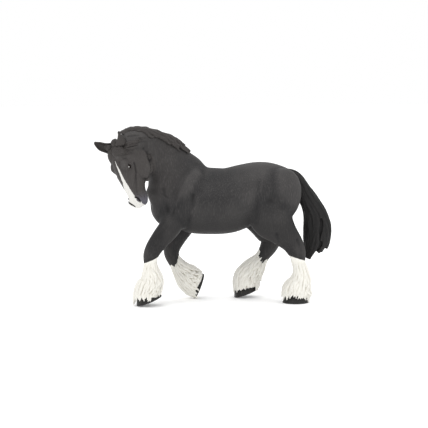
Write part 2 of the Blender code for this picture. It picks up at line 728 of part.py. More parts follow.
def neck_region(place, margin):
    """What lies before the sloping cut through the withers."""
    (x0, z0), (x1, z1) = place
    along = unit(np.array((x1 - x0, 0.0, z1 - z0)))
    matrix = frame_matrix((x0, 0.0, z0), along, (0.0, 1.0, 0.0), np.cross(along, (0.0, 1.0, 0.0)))
    return block("region", matrix, (-REACH, -REACH, -REACH), (REACH, REACH, margin))


def hoof_matrix(name):
    """A frame on the middle of the sole: X to the heel, Z out of the top of the hoof."""
    place, lift = HOOVES[name]
    return Matrix.Translation(place) @ Matrix.Rotation(math.radians(-lift), 4, "Y")


def build_hoof(name):
    """A rounded hoof: flat sole, wall leaning back, heel lower than the toe."""
    matrix = hoof_matrix(name)
    rings = []
    for share, bulge in ((0.0, 0.97), (0.06, 1.0), (0.55, 0.90), (1.0, HOOF_TOP_SHARE)):
        ring = []
        for k in range(20):
            a = 2 * math.pi * k / 20
            x = -math.cos(a) * HOOF_REACH * bulge + HOOF_SETBACK * share
            y = math.sin(a) * HOOF_HALF_WIDTH * bulge * (1.0 - 0.10 * max(0.0, -math.cos(a)))
            z = HOOF_HEIGHT * share * (0.80 + 0.20 * math.cos(a))
            ring.append(matrix @ Vector((x, y, z)))
        rings.append(ring)
    hoof = closed_loft("hoof_" + name, rings)
    ground = block("ground", Matrix.Identity(4), (-REACH, -REACH, -20.0), (REACH, REACH, 0.0))
    combine(hoof, "DIFFERENCE", [ground])
    return tidy(hoof)


def feather_locks(name, rng):
    """Locks of the feather: a skirt over the hoof, a layer above it and long hair behind."""
    limb = Limb(LEGS[name])
    to_hoof = hoof_matrix(name).inverted()
    locks = []
    for count, root, hem, reach, width, lifts in FEATHER_LAYERS:
        for k in range(count):
            turn = reach * (2.0 * (k + 0.5) / count - 1.0) + rng.uniform(-5, 5)
            turns = (turn, turn + rng.uniform(-9, 9))
            tip, height = root + 1.0, hem + rng.uniform(-0.7, 0.7)
            while tip < LAST_HEM and (to_hoof @ Vector(limb.point(tip, turns[1], lifts[1]))).z > height:
                tip += HEM_STEP
            locks.append(surface_lock(
                limb, (root + rng.uniform(-0.3, 0.3), tip), turns, lifts, width * rng.uniform(0.9, 1.15), 1.9,
                wave=rng.uniform(2, 5), phase=rng.uniform(0, 6),
            ))
    return locks


def mane_locks(rng):
    """Locks combed back along the crest, and the fall on the right side of the neck."""
    limb = Limb(NECK)
    locks = []
    for count, first, last, run, turns, lifts, width in MANE_LAYERS:
        for k in range(count):
            back = k / (count - 1)
            root = first + (last - first) * back
            tip = max(root - run + rng.uniform(-0.15, 0.15), MANE_END)
            begin, end = (turn + rng.uniform(-6, 6) for turn in turns)
            fullness = 0.35 + 0.65 * back
            locks.append(surface_lock(
                limb, (root, tip), (begin, end), (lifts[0], lifts[1] * fullness), width * rng.uniform(0.9, 1.15), 2.8,
                wave=rng.uniform(4, 8), phase=rng.uniform(0, 6), steps=7,
            ))
    return locks


def forelock_locks(rng):
    """Hair from the poll between the ears, swept over the left temple."""
    limb = skull_limb()
    locks = []
    for k in range(FORELOCK_LOCKS):
        share = k / (FORELOCK_LOCKS - 1)
        locks.append(surface_lock(
            limb, (0.15 + 0.9 * share, 1.05 + 1.3 * share), (-50 + 50 * share, 78 - 10 * share), (0.4, 1.2),
            2.6, 1.8, wave=rng.uniform(3, 7), phase=rng.uniform(0, 6), steps=7,
        ))
    return locks


def tail_locks(rng):
    limb = Limb(TAIL)
    locks = []
    for count, root, tip, width in TAIL_LAYERS:
        for k in range(count):
            turn = 360.0 * (k + rng.uniform(-0.25, 0.25)) / count
            span = (root + rng.uniform(-0.3, 0.3), tip + rng.uniform(-0.35, 0.35))
            locks.append(surface_lock(
                limb, span, (turn, turn + rng.uniform(10, 45)), (-0.6, 0.7), width * rng.uniform(0.9, 1.15), 2.4,
                wave=12.0, phase=rng.uniform(0, 6), steps=8,
            ))
    return locks


def fuse(name, core, locks, triangles):
    """Grows the locks out of the core."""
    core.name = name
    combine(core, "UNION", locks)
    tidy(core, weld=0.0)
    return tidy(thin_out(core, triangles))


def paint(obj, finish):
    colour, roughness = finish
    material = bpy.data.materials.new(obj.name + "_paint")
    material.use_nodes = True
    shader = material.node_tree.nodes["Principled BSDF"]
    shader.inputs["Base Color"].default_value = colour
    shader.inputs["Roughness"].default_value = roughness
    obj.data.materials.clear()
    obj.data.materials.append(material)
    for polygon in obj.data.polygons:
        polygon.use_smooth = True


def finish_of(name):
    if name.startswith("hoof"):
        return HORN
    if name.startswith("eye"):
        return GLOSS
    if "feather" in name:
        return FEATHER
    return HAIR if name in ("mane", "tail", "forelock") else COAT


def stand_on_origin():
    """Moves everything so that the middle of the bounding box's foot is the origin, in metres."""
    nodes = [obj for obj in bpy.data.objects if obj.type == "MESH"]
    corners = np.array([read_points(obj.data)[0].min(axis=0) for obj in nodes])
    others = np.array([read_points(obj.data)[0].max(axis=0) for obj in nodes])
    low, high = corners.min(axis=0), others.max(axis=0)
    shift = Matrix.Translation((-(low[0] + high[0]) / 2, -(low[1] + high[1]) / 2, -low[2]))
    for obj in nodes:
        obj.data.transform(Matrix.Scale(METRES, 4) @ shift)


def main():
    clear_scene()
    rng = random.Random(7)
    head = build_head()
    flesh = build_body_flesh()
    combine(flesh, "DIFFERENCE", [grown(head, SOFT_GAP)])
    neck = part_off(flesh, "neck", neck_region, WITHERS_CUT)
    lower_legs = {}
    for name in LEGS:
        leg = part_off(flesh, "leg_" + name, leg_region, LEG_ROOTS[name])
        lower_legs[name] = part_off(leg, "feather_" + name, stocking_region, STOCKINGS[name])
        tidy(thin_out(leg, UPPER_LEG_TRIS))
    tidy(thin_out(flesh, TORSO_TRIS))
    tidy(thin_out(neck, NECK_TRIS))
    for name, core in lower_legs.items():
        thin_out(core, LOWER_LEG_TRIS)
        fuse("feather_" + name, core, feather_locks(name, rng), FEATHER_TRIS)
        cut_back(core, build_hoof(name), bpy.data.objects["leg_" + name])
    for name in EARS:
        build_ear(name, head, neck)
    ears = [bpy.data.objects[name] for name in EARS]

    tail = fuse("tail", Limb(TAIL).mesh("tail_core", 12), tail_locks(rng), TAIL_TRIS)
    cut_back(tail, flesh)
    forelocks = forelock_locks(rng)
    forelock = fuse("forelock", forelocks[0], forelocks[1:], FORELOCK_TRIS)
    cut_back(forelock, head, neck, *ears)
    locks = mane_locks(rng)
    mane = fuse("mane", locks[0], locks[1:], MANE_TRIS)
    cut_back(mane, neck, flesh, head, *ears, forelock)

    for obj in bpy.data.objects:
        draw_apart(obj)
        paint(obj, finish_of(obj.name))
    stand_on_origin()


main()
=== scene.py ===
"""Looks of a collectible shire horse figure at 1:20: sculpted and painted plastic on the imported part.

Lengths are millimetres of the figure, in the frame where it was drawn: it faces -X, its left side is
at -Y, +Z is up. place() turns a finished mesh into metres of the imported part's frame.
"""

import functools
import math
import random

import bmesh
import bpy
import numpy as np
from bpy.props import FloatProperty, FloatVectorProperty, IntProperty, PointerProperty
from mathutils import Matrix, Vector
from mathutils.bvhtree import BVHTree
from mathutils.kdtree import KDTree


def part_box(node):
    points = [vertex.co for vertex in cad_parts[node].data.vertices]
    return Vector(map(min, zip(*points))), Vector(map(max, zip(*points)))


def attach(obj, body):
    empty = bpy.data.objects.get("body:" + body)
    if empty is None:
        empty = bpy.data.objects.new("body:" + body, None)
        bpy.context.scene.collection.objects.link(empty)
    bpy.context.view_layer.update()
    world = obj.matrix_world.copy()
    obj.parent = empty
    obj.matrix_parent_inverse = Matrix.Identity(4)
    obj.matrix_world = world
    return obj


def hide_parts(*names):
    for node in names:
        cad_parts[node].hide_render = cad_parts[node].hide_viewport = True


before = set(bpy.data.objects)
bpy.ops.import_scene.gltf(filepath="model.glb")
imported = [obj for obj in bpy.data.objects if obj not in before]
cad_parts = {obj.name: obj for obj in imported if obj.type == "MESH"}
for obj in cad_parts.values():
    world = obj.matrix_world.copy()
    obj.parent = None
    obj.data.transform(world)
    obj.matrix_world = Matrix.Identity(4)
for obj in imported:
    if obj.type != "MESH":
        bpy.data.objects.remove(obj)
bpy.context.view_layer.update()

bl_info = {
    "name": "Shire Horse Figure",
    "version": (1, 0, 0),
    "blender": (4, 5, 0),
    "location": "3D View > Sidebar > Horse",
    "description": "Builds the sculpted skin, hair and paint of a collectible horse figure",
    "category": "Object",
}

METRES = 0.001
ACROSS = np.array((0.0, 1.0, 0.0))

# Trunk, from breast to rump: x, y, z, half height, half width, lean (below 0, narrower at the top)
TRUNK = [
    (-40.2, 0, 64.5, 9.6, 8.0, -0.10), (-35.0, 0, 66.6, 14.4, 12.0, -0.15),
    (-26.0, 0, 68.0, 18.5, 14.5, -0.25), (-14.0, 0, 67.8, 22.0, 15.4, -0.35),
    (-2.0, 0, 66.9, 22.1, 16.0, -0.30), (10.0, 0, 67.0, 21.7, 16.6, -0.18),
    (21.0, 0, 70.5, 20.5, 16.2, -0.10), (32.0, 0, 73.4, 19.3, 15.6, -0.05),
    (42.0, 0, 74.1, 17.1, 14.6, -0.10), (51.0, 0, 73.9, 13.0, 10.5, -0.15), (57.0, 0, 72.5, 7.0, 5.0, 0.0),
]

# Neck, from withers to poll: x, y, z, half depth, half width, lean (above 0, narrower at the crest)
NECK = [
    (-10.0, 0.0, 66.0, 20.6, 12.0, 0.20), (-19.5, 0.0, 75.3, 21.2, 12.6, 0.24),
    (-25.4, -0.2, 84.5, 19.6, 11.4, 0.26), (-30.6, -1.4, 92.0, 15.4, 9.6, 0.24),
    (-37.4, -3.4, 97.6, 14.1, 8.0, 0.20), (-45.0, -6.9, 102.3, 12.4, 7.2, 0.16),
    (-52.5, -11.4, 105.5, 10.3, 6.6, 0.12), (-60.0, -14.2, 105.6, 7.7, 5.8, 0.05),
]

# Legs, from inside the body to the top of the hoof: x, y, z, half depth and half width
FORE_LEFT = [
    (-26.0, -8.5, 62.0, 10.0, 6.0), (-28.6, -11.3, 52.5, 7.6, 6.8), (-34.5, -12.2, 45.0, 6.6, 6.2),
    (-39.4, -12.6, 38.5, 5.7, 5.4), (-42.0, -12.8, 33.0, 5.0, 5.2), (-42.6, -12.8, 27.0, 4.0, 4.2),
    (-42.7, -12.8, 22.0, 4.6, 4.7), (-41.8, -12.8, 16.0, 6.9, 6.6), (-43.8, -12.8, 10.5, 8.0, 7.9),
    (-44.3, -12.8, 6.8, 8.3, 8.3),
]
FORE_RIGHT = [
    (-16.0, 8.5, 60.0, 10.0, 6.0), (-18.5, 11.0, 50.0, 8.2, 6.8), (-22.4, 11.6, 42.0, 6.5, 6.2),
    (-25.6, 11.8, 35.5, 5.8, 5.4), (-26.0, 11.8, 30.0, 5.0, 5.1), (-23.4, 11.8, 24.0, 4.4, 4.4),
    (-19.6, 11.8, 18.6, 5.6, 5.0), (-14.9, 11.8, 13.8, 8.0, 6.9), (-11.3, 11.8, 10.9, 8.4, 8.0),
    (-9.1, 11.8, 9.6, 8.2, 8.2),
]
HIND_LEFT = [
    (36.0, -8.0, 66.0, 17.0, 7.5), (38.8, -10.5, 55.0, 14.7, 8.0), (45.4, -11.8, 46.5, 9.7, 7.0),
    (51.4, -12.2, 39.5, 7.2, 5.8), (54.4, -12.4, 33.5, 6.0, 5.2), (55.7, -12.4, 27.0, 4.5, 4.2),
    (57.0, -12.4, 20.5, 4.3, 4.6), (56.4, -12.4, 14.5, 5.9, 6.4), (54.5, -12.4, 9.5, 8.1, 8.0),
    (53.8, -12.4, 6.0, 8.5, 8.4),
]
HIND_RIGHT = [
    (33.0, 8.0, 66.0, 17.0, 7.5), (33.8, 10.5, 55.0, 13.2, 8.0), (37.2, 11.8, 46.0, 8.7, 7.0),
    (40.9, 12.2, 39.2, 7.2, 5.8), (38.8, 12.6, 32.6, 5.6, 5.2), (34.4, 12.8, 26.6, 4.5, 4.2),
    (29.5, 12.8, 21.0, 5.7, 5.0), (25.8, 12.8, 15.5, 7.6, 6.8), (24.4, 12.8, 10.5, 8.1, 8.0),
    (24.6, 12.8, 7.2, 8.2, 8.3),
]
LEGS = {
    "fore_left": FORE_LEFT, "fore_right": FORE_RIGHT,
    "hind_left": HIND_LEFT, "hind_right": HIND_RIGHT,
}
FETLOCK = 7              # stations of a leg that the skin covers; the feather hides the rest

# Where the white stocking begins on each leg: a point, and the rise of its edge towards the tail (degrees)
STOCKINGS = {
    "fore_left": ((-42.0, -12.8, 30.2), 24.0),
    "fore_right": ((-24.4, 11.8, 26.0), 50.0),
    "hind_left": ((55.0, -12.4, 29.6), -18.0),
    "hind_right": ((34.1, 12.7, 29.1), -71.0),
}
STOCKING_TOP = 40.0      # no white above this height
LEG_REACH = 16.0         # fore and aft of the point, the skin of the same leg
INNER_REACH = 40.0       # towards the belly: distance inwards times the point's own distance

# Hooves: centre of the sole, and how far the heel is lifted (degrees)
HOOF_REACH = 8.8         # from the middle to the toe
HOOF_HALF_WIDTH = 7.6
HOOF_HEIGHT = 7.0
HOOF_TOP_SHARE = 0.80    # its outline at the top, as a share of that at the sole
HOOF_SETBACK = 1.6       # how far the top stands behind the sole
HOOVES = {
    "fore_left": ((-43.2, -12.8, 2.94), 21.0),
    "fore_right": ((-7.4, 11.8, 7.99), 68.0),
    "hind_left": ((53.7, -12.4, -0.15), 0.0),
    "hind_right": ((24.6, 12.8, 2.89), 20.5),
}

# Muscle masses on each side of the body: x, y, z, the three radii and the tilt (degrees about y)
MUSCLES = [
    (-20.5, 7.6, 71.0, 9.0, 8.0, 20.0, 30.0),    # shoulder blade
    (-24.0, 9.4, 59.0, 11.0, 6.6, 9.5, 20.0),    # upper arm
    (-34.4, 5.4, 62.0, 6.2, 6.4, 10.0, -8.0),    # breast
    (44.3, 8.0, 70.4, 13.6, 8.6, 18.6, 12.0),    # haunch
    (33.0, 10.0, 55.6, 7.6, 6.6, 8.6, 20.0),     # stifle
]
# A low swelling of the belly line: middle and radii
SHEATH = ((25.6, 0.0, 49.4), (2.9, 2.1, 2.9))

# Head pose: the poll, the turn to the left, the tuck of the nose and the roll (degrees)
POLL = np.array((-63.5, -14.5, 104.2))
HEAD_TURN = 39.0
HEAD_TUCK = 10.5
HEAD_ROLL = 18.0
HEAD_SIZE = 0.90         # millimetres to one unit of the head's frame
HEAD_BOX = ((-90.0, -40.0, 50.0), (-38.0, 20.0, 118.0))   # nothing outside it is near the head
HEAD_ENDS = 2.6          # distance from the head's own surface at which the neck begins
HEAD_FADE = 1.8          # and the width of the change

# Head, from poll to lips, in its own frame: distance down the face, forehead side, throat side,
# half width and lean (above 0, wider at the forehead side)
SKULL = [
    (-3.0, 1.5, -11.0, 4.8, 0.0), (1.5, 4.6, -15.0, 6.4, 0.0), (7.0, 7.4, -18.6, 7.4, 0.06),
    (13.5, 8.6, -20.4, 8.0, 0.06), (20.0, 8.2, -19.4, 7.5, 0.08), (26.5, 6.9, -15.6, 6.3, 0.08),
    (33.0, 5.6, -11.2, 5.4, 0.05), (38.5, 4.8, -9.8, 5.5, 0.0), (43.0, 3.6, -8.8, 5.1, 0.0),
    (46.2, 1.4, -5.4, 3.4, 0.0),
]

# Masses of the head in the same frame: down the face, to the forehead, to the side, and the three radii
HEAD_MASSES = [
    (17.6, -11.8, 5.9, 10.8, 9.0, 3.4),   # cheek
    (6.6, 3.2, 3.8, 6.6, 4.6, 3.6),       # forehead
    (14.6, 3.2, 4.9, 5.0, 3.8, 3.5),      # brow
    (40.6, 1.5, 3.2, 4.0, 3.0, 2.7),      # nostril
    (43.4, -0.2, 0.9, 3.4, 3.2, 3.8),     # upper lip
    (28.4, -13.2, 4.4, 2.4, 2.6, 2.2),    # angle of the jaw
    (42.0, -6.0, 0.6, 3.6, 2.6, 3.0),     # chin
]

# Strokes that raise or hollow the skin: start, end, reach and height (below 0, a hollow). Those of the
# head are in its frame, and all are mirrored
HEAD_STROKES = [
    ((11.4, 5.0, 6.4), (14.4, 5.6, 6.6), 1.7, 0.7),  # brow
    ((7.0, 3.6, 6.0), (8.4, 4.2, 6.2), 2.2, -0.7),  # hollow above the eye
    ((15.4, -3.2, 7.6), (22.2, -2.9, 6.8), 0.9, -0.5),  # groove before the cheek
    ((22.2, -2.9, 6.8), (26.0, -0.9, 6.0), 0.9, -0.35),  # the same, running out down the face
    ((18.4, -1.0, 6.8), (27.0, 1.2, 5.6), 1.1, 0.4),  # facial crest
    ((21.5, 6.4, 4.2), (33.0, 5.0, 3.6), 1.6, 0.35),  # edge of the nasal bone
    ((26.0, -1.2, 5.8), (35.0, 1.0, 5.0), 1.6, -0.4),  # hollow beside the nose
    ((38.8, 3.4, 4.0), (41.6, 1.0, 4.9), 2.2, 0.45),  # nostril wing
    ((22.0, -15.5, 0.0), (33.0, -8.6, 0.0), 1.8, -0.9),  # channel between the jaws
    ((12.0, -13.6, 9.0), (23.0, -13.6, 8.0), 2.4, 0.6),  # rim of the cheek
    ((8.0, -13.6, 10.6), (14.1, -17.5, 9.5), 1.2, -0.6),  # groove behind the cheek
    ((14.1, -17.5, 9.5), (20.5, -17.6, 8.9), 1.5, -1.5),
    ((20.5, -17.6, 8.9), (28.0, -15.0, 7.6), 1.6, -1.8),
    ((41.8, -7.8, 0.0), (43.4, -6.6, 0.0), 2.0, 0.6),  # chin
]
FACE_STROKES = [
    ((38.1, 4.1, 4.0), (40.1, 2.7, 6.1), 0.95, -1.3),  # nostril, front
    ((40.1, 2.7, 6.1), (43.2, 1.6, 5.6), 0.95, -1.4),  # nostril, rear
    ((37.6, 2.4, 5.2), (41.0, -0.2, 5.8), 0.8, 0.35),  # rim of the nostril
    ((46.5, -2.4, 0.0), (44.6, -3.0, 4.2), 0.45, -0.8),  # mouth, front
    ((44.6, -3.0, 4.2), (38.6, -4.4, 6.0), 0.45, -0.7),  # mouth, side
    ((45.0, -1.4, 2.6), (39.0, -2.6, 5.4), 0.8, 0.25),  # upper lip
    ((44.0, -4.6, 2.6), (39.5, -5.6, 4.6), 0.8, 0.2),  # lower lip
]
BODY_STROKES = [
    ((-9.5, 12.0, 86.0), (-14.0, 15.5, 72.0), 2.8, -0.12),  # behind the shoulder
    ((-14.0, 15.5, 72.0), (-17.0, 15.5, 56.0), 2.0, -0.6),  # behind the upper arm
    ((-22.0, 14.5, 74.0), (-29.0, 14.5, 62.0), 1.4, 0.35),  # front of the upper arm
    ((-18.5, 14.5, 72.0), (-25.0, 15.2, 58.0), 1.2, 0.3),  # upper arm
    ((-34.0, 12.0, 76.0), (-31.0, 14.0, 62.0), 2.0, -0.5),  # before the shoulder
    ((-26.0, 15.0, 70.0), (-28.0, 15.2, 58.0), 1.0, -0.3),  # between the heads of the upper arm
    ((-38.0, 0.0, 72.0), (-36.5, 0.0, 58.0), 1.8, -1.1),  # between the breasts
    ((29.0, 15.4, 80.0), (27.4, 15.8, 68.0), 2.6, -0.25),  # flank
    ((27.4, 15.8, 68.0), (27.0, 14.6, 54.0), 2.4, -0.4),  # before the stifle
    ((31.4, 15.0, 84.0), (29.6, 15.6, 75.0), 1.0, 0.45),  # edge of the haunch
    ((33.0, 12.0, 87.0), (30.0, 13.0, 89.0), 2.4, 0.3),  # point of the hip
    ((54.5, 10.5, 74.0), (51.5, 14.0, 58.0), 2.2, -0.35),  # behind the thigh
    ((56.0, 0.0, 78.0), (55.0, 0.0, 52.0), 2.2, -1.4),  # between the buttocks
    ((-45.0, 13.0, 90.0), (-37.0, 12.5, 76.0), 1.8, -0.7),  # groove of the neck
    ((-37.0, 12.5, 76.0), (-31.0, 12.0, 70.0), 1.8, -0.5),  # the same, to the shoulder
    ((-40.0, 14.0, 92.0), (-31.5, 14.0, 80.0), 2.0, 0.35),  # muscle above that groove
    ((-33.0, 18.5, 52.0), (-39.5, 18.0, 40.0), 1.1, -0.35),  # forearm, left
    ((-20.0, 18.0, 50.0), (-24.0, 17.6, 39.0), 1.1, -0.35),  # forearm, right
    ((-40.5, 17.8, 36.5), (-41.5, 17.8, 31.5), 1.2, 0.4),  # knee, left
    ((-25.5, 17.0, 35.0), (-25.5, 16.8, 30.0), 1.2, 0.4),  # knee, right
    ((53.5, 17.5, 42.0), (56.5, 16.6, 35.0), 1.1, -0.35),  # gaskin, left
    ((40.0, 18.0, 46.0), (42.0, 17.0, 36.0), 1.2, -0.35),  # gaskin, right
    ((-57.0, 17.6, 110.8), (-47.0, 15.6, 111.6), 0.45, -0.35),  # combed hair behind the ears
    ((-57.6, 18.0, 109.0), (-45.5, 15.4, 109.6), 0.45, -0.35),
    ((-55.6, 17.8, 106.6), (-44.6, 15.0, 107.2), 0.45, -0.25),
]
# Creases between head and neck that are smoothed away: start, end, reach and share
HEAD_BLENDS = [
    ((0.0, 0.0, 7.0), (5.4, -2.8, 7.6), 2.6, 1.0),
    ((5.4, -2.8, 7.6), (10.1, -9.1, 8.4), 3.2, 1.0),
    ((10.1, -9.1, 8.4), (13.3, -15.1, 9.0), 2.6, 1.0),
]
# Painted shadow lines on the head: start, end, reach and strength
HEAD_SHADES = [
    ((11.0, -16.0, 10.2), (16.4, -18.2, 8.9), 1.3, 0.35),  # behind the cheek
    ((16.4, -18.2, 8.9), (25.5, -15.2, 7.8), 1.1, 0.55),
    ((25.5, -15.2, 7.8), (29.1, -11.4, 5.8), 0.9, 0.55),
    ((15.4, -3.4, 7.6), (27.0, -1.2, 6.0), 0.8, 0.35),  # before the cheek
    ((27.0, -1.2, 6.0), (35.0, 1.2, 5.2), 1.1, 0.25),  # beside the nose
]
# Creases of the body that are smoothed away, in the same way
BODY_BLENDS = [
    ((31.0, 12.0, 88.0), (30.0, 16.5, 60.0), 6.0, 1.0),  # flank
    ((-10.0, 11.0, 90.0), (-12.5, 15.5, 58.0), 5.0, 1.0),  # behind the shoulder
    ((-31.0, 9.0, 84.0), (-33.0, 12.0, 62.0), 4.0, 0.8),  # before the shoulder
]

# Hair behind the near ear: root and tip in the drawing's frame
EAR_TUFT = np.array(((-62.5, -15.2, 110.4), (-59.2, -12.8, 113.4)))
FORELOCK_STRANDS = 9
# Hair heaped between the ears: place and radii in the head's frame
CROWN = ((-2.5, 1.6, 1.6), (2.9, 2.6, 3.0))
CROWN_LOCKS = 9

EYE_PLACE = np.array((16.2, 1.7, 6.7))   # down the face, to the forehead, to the side
EYE_RADIUS = 1.9
EYE_REGION = 3.8         # how far from the middle of the eye the lids are shaped
SOCKET_DEPTH = 0.45      # how deep the socket lies under the ball's surface
LID_EDGE = 0.22          # how far the edge of a lid stands off the ball
LID_LIFT = 0.42          # how far the rest of it does
EYE_OUTWARD = (0.24, 0.22, 0.95)         # directions in the head's frame
EYE_LENGTHWISE = (0.94, -0.33, 0.10)
EYE_HALF_LENGTH = 1.65
EYE_HALF_HEIGHT = 1.16
EYE_GLINT = (0.26, 0.66, 0.70)           # direction of the painted glint
GLINT_RADIUS = 0.36
# Dark paint as painted shade in the nostril of the right side, where it turns towards the front
RIGHT_NOSTRIL = [
    ((38.3, 4.1, -3.9), (40.0, 4.6, -3.9)), ((40.0, 4.6, -3.9), (41.6, 4.3, -2.7)),
    ((41.6, 4.3, -2.7), (44.4, 2.8, -1.0)),
]

# Ears: where they grow in the head's frame, which way they point and open in the world, length, half width
EARS = {
    "ear_left": ((-1.0, 0.6, 5.3), (-0.16, -0.42, 0.88), (-0.35, 0.93, 0.0), 9.3, 3.8),
    "ear_right": ((-0.5, 2.5, -4.8), (-0.96, 0.10, 0.263), (0.0, -1.0, -0.15), 10.8, 3.9),
}
EAR_WALL = 0.9           # thickness
# Share of the half width at each share of the length
EAR_SHAPES = {
    "ear_left": [(0.0, 1.0), (0.2, 0.84), (0.45, 0.56), (0.75, 0.30), (0.92, 0.22), (1.0, 0.14)],
    "ear_right": [(0.0, 1.0), (0.28, 0.83), (0.66, 0.70), (0.88, 0.40), (0.96, 0.26), (1.0, 0.12)],
}
EAR_HOOKS = {"ear_left": 0.0, "ear_right": 0.9}       # how far the tip bends up

# Tail, from root to tip: x, y, z, half depth and half width
TAIL = [
    (45.0, 0.0, 84.6, 2.6, 2.6), (50.5, 0.2, 83.7, 3.6, 3.4), (55.5, 0.5, 80.0, 4.3, 4.0),
    (60.2, 0.9, 73.0, 4.5, 4.3), (65.0, 1.3, 66.0, 5.1, 4.7), (68.9, 1.6, 57.0, 6.6, 5.2),
    (70.9, 2.0, 47.5, 8.2, 5.6), (70.4, 2.2, 38.5, 7.7, 5.0), (68.4, 2.2, 31.2, 5.4, 3.8),
]

# Layers of locks on a feather: how many, the station of the root, how high over the sole the tips end,
# how far round from the rear (degrees), the width and the height over the leg at root and tip
FEATHER_LAYERS = [
    (44, 7.5, 5.2, 180.0, 2.0, (-0.8, 0.25)),
    (38, 6.9, 6.4, 180.0, 1.9, (-0.8, 0.45)),
    (34, 6.3, 8.2, 178.0, 1.8, (-0.7, 0.60)),
    (30, 5.8, 10.6, 176.0, 1.7, (-0.7, 0.65)),
    (26, 5.2, 13.2, 174.0, 1.6, (-0.6, 0.60)),
    (22, 4.7, 15.6, 170.0, 1.5, (-0.5, 0.45)),
]
# How much lower the hem hangs at the heel and at the toe
HEEL_DROP = {"fore_left": 2.4, "fore_right": 1.4, "hind_left": 2.8, "hind_right": 4.2}
TOE_DROP = {"fore_left": 1.6, "fore_right": 6.4, "hind_left": 0.6, "hind_right": 0.4}
LONG_TUFTS = 0.12        # share of the locks whose tips reach lower than the rest
LOOSE_TUFTS = 16         # locks behind each fetlock that stand off the rest
HEM_STEP = 0.05          # stations; how finely the place of a hem is sought
LAST_HEM = 11.0          # station at which the search ends

# Layers on the neck: how many, the station of the first and the last root, the run of a lock, its angle
# at root and tip (180 on the crest, more on the left), its height over the neck, its width and thickness
MANE_LAYERS = [
    (12, 7.1, 5.9, 1.4, (188, 178), (-0.6, 0.3), 2.2, 1.5),
    (18, 7.1, 4.0, 1.1, (182, 150), (-0.1, 0.9), 2.8, 1.8),
    (20, 7.1, 3.9, 1.0, (176, 116), (0.2, 1.2), 2.6, 1.8),
    (22, 7.0, 3.3, 1.0, (172, 86), (0.3, 1.0), 2.6, 1.8),
]
# Lower edge of the mane on the left side: station of the neck and angle
MANE_EDGE = [
    (2.85, 206), (3.2, 224), (4.0, 225), (4.55, 219), (5.3, 208), (5.7, 201), (5.95, 193), (7.4, 187),
]
NEAR_LOCKS = 44          # locks down to that edge
CREST = 182              # angle from which they fall
CURL_LOCKS = 8
# Curls along the crest, each a bundle of locks: the stations of root and tip and the height over the neck
MANE_CURLS = [(6.1, 5.05, 0.9), (5.4, 4.35, 1.0), (4.8, 3.65, 1.5), (4.1, 3.2, 1.8)]
MANE_END = 2.7           # station where the last hair lies on the neck
# Layers on the tail: how many locks, the stations of root and tip, and the width
TAIL_LAYERS = [(12, 0.3, 5.2, 2.8), (14, 1.2, 6.8, 3.0), (15, 2.4, 7.6, 3.2), (15, 3.6, 8.05, 3.2)]
RIDGE_SPACING = 0.75     # of the fine ridges along a lock

# Blaze: distance down the face, its middle and its half width
BLAZE = [
    (8.8, 1.6, -0.6), (9.8, 1.7, 0.1), (16.0, 2.3, 0.45), (21.0, 2.2, 0.75), (26.0, 1.6, 1.25),
    (29.0, 0.8, 2.2), (31.0, 0.2, 2.8), (35.5, 0.0, 3.2), (38.0, 0.2, 3.4), (40.0, 0.4, 4.3),
    (43.0, 0.3, 4.8), (47.0, 0.0, 5.5),
]
# It lies on the forehead's side of this line: distance down the face, and how far to the forehead
BLAZE_FRONT = [(8, 3), (30, 2.5), (38, 0.8), (44, 0.2), (47, -4)]
LIP_WHITE = 45.7         # white from here on, where the two lips meet
UNMARKED = -3.0          # stored where there is no white: millimetres outside it


def spline(stations, per_span):
    """Rows read from a smooth curve through the stations."""
    rows = np.array(stations, float)
    padded = np.vstack([2 * rows[0] - rows[1], rows, 2 * rows[-1] - rows[-2]])
    found = []
    for i in range(len(rows) - 1):
        a, b, c, d = padded[i:i + 4]
        for t in np.arange(per_span) / per_span:
            bend = 2 * a - 5 * b + 4 * c - d + t * (3 * (b - c) + d - a)
            found.append(b + 0.5 * t * (c - a + t * bend))
    found.append(rows[-1])
    return np.array(found)


def unit(v):
    return np.array(v) / max(np.linalg.norm(v), 1e-9)


def between(pair, share):
    return pair[0] + (pair[1] - pair[0]) * share


class Limb:
    """A smooth tube through stations of x, y, z, half depth, half width and, where it has one, lean."""

    PER_SPAN = 4

    def __init__(self, stations, fixed_axes=None):
        """fixed_axes are the directions of depth and width, where they don't follow from the path."""
        self.rows = spline([(*row, 0.0)[:6] for row in stations], self.PER_SPAN)
        self.end = len(stations) - 1
        self.fixed_axes = fixed_axes
        self.tangents = np.gradient(self.rows[:, :3], axis=0)

    def ring_axes(self, tangent):
        if self.fixed_axes:
            return self.fixed_axes
        tangent = unit(tangent)
        side = unit(ACROSS - tangent * (ACROSS @ tangent))
        return np.cross(tangent, side), side

    def point(self, t, turn, lift=0.0):
        """A point of the surface at t, counted in stations; past the end it runs straight on.

        turn is 0 on the depth axis and 90 degrees on the side axis.
        """
        inside = min(max(t, 0.0), float(self.end))
        k = inside * self.PER_SPAN
        i = min(int(k), len(self.rows) - 2)
        row = self.rows[i] + (k - i) * (self.rows[i + 1] - self.rows[i])
        tangent = self.tangents[i] + (k - i) * (self.tangents[i + 1] - self.tangents[i])
        centre = row[:3] + (t - inside) * self.PER_SPAN * tangent
        front, side = self.ring_axes(tangent)
        c, s = math.cos(math.radians(turn)), math.sin(math.radians(turn))
        return centre + front * (row[3] + lift) * c + side * (row[4] * (1 + row[5] * c) + lift) * s

    def body(self, span=None, lift=0.0, sides=40):
        """Points and faces of the closed tube between two stations."""
        low, high = span or (0.0, self.end)
        turns = np.arange(sides) * 360.0 / sides
        stops = np.linspace(low, high, int((high - low) * 5) + 1)
        return loft([[self.point(t, turn, lift) for turn in turns] for t in stops])


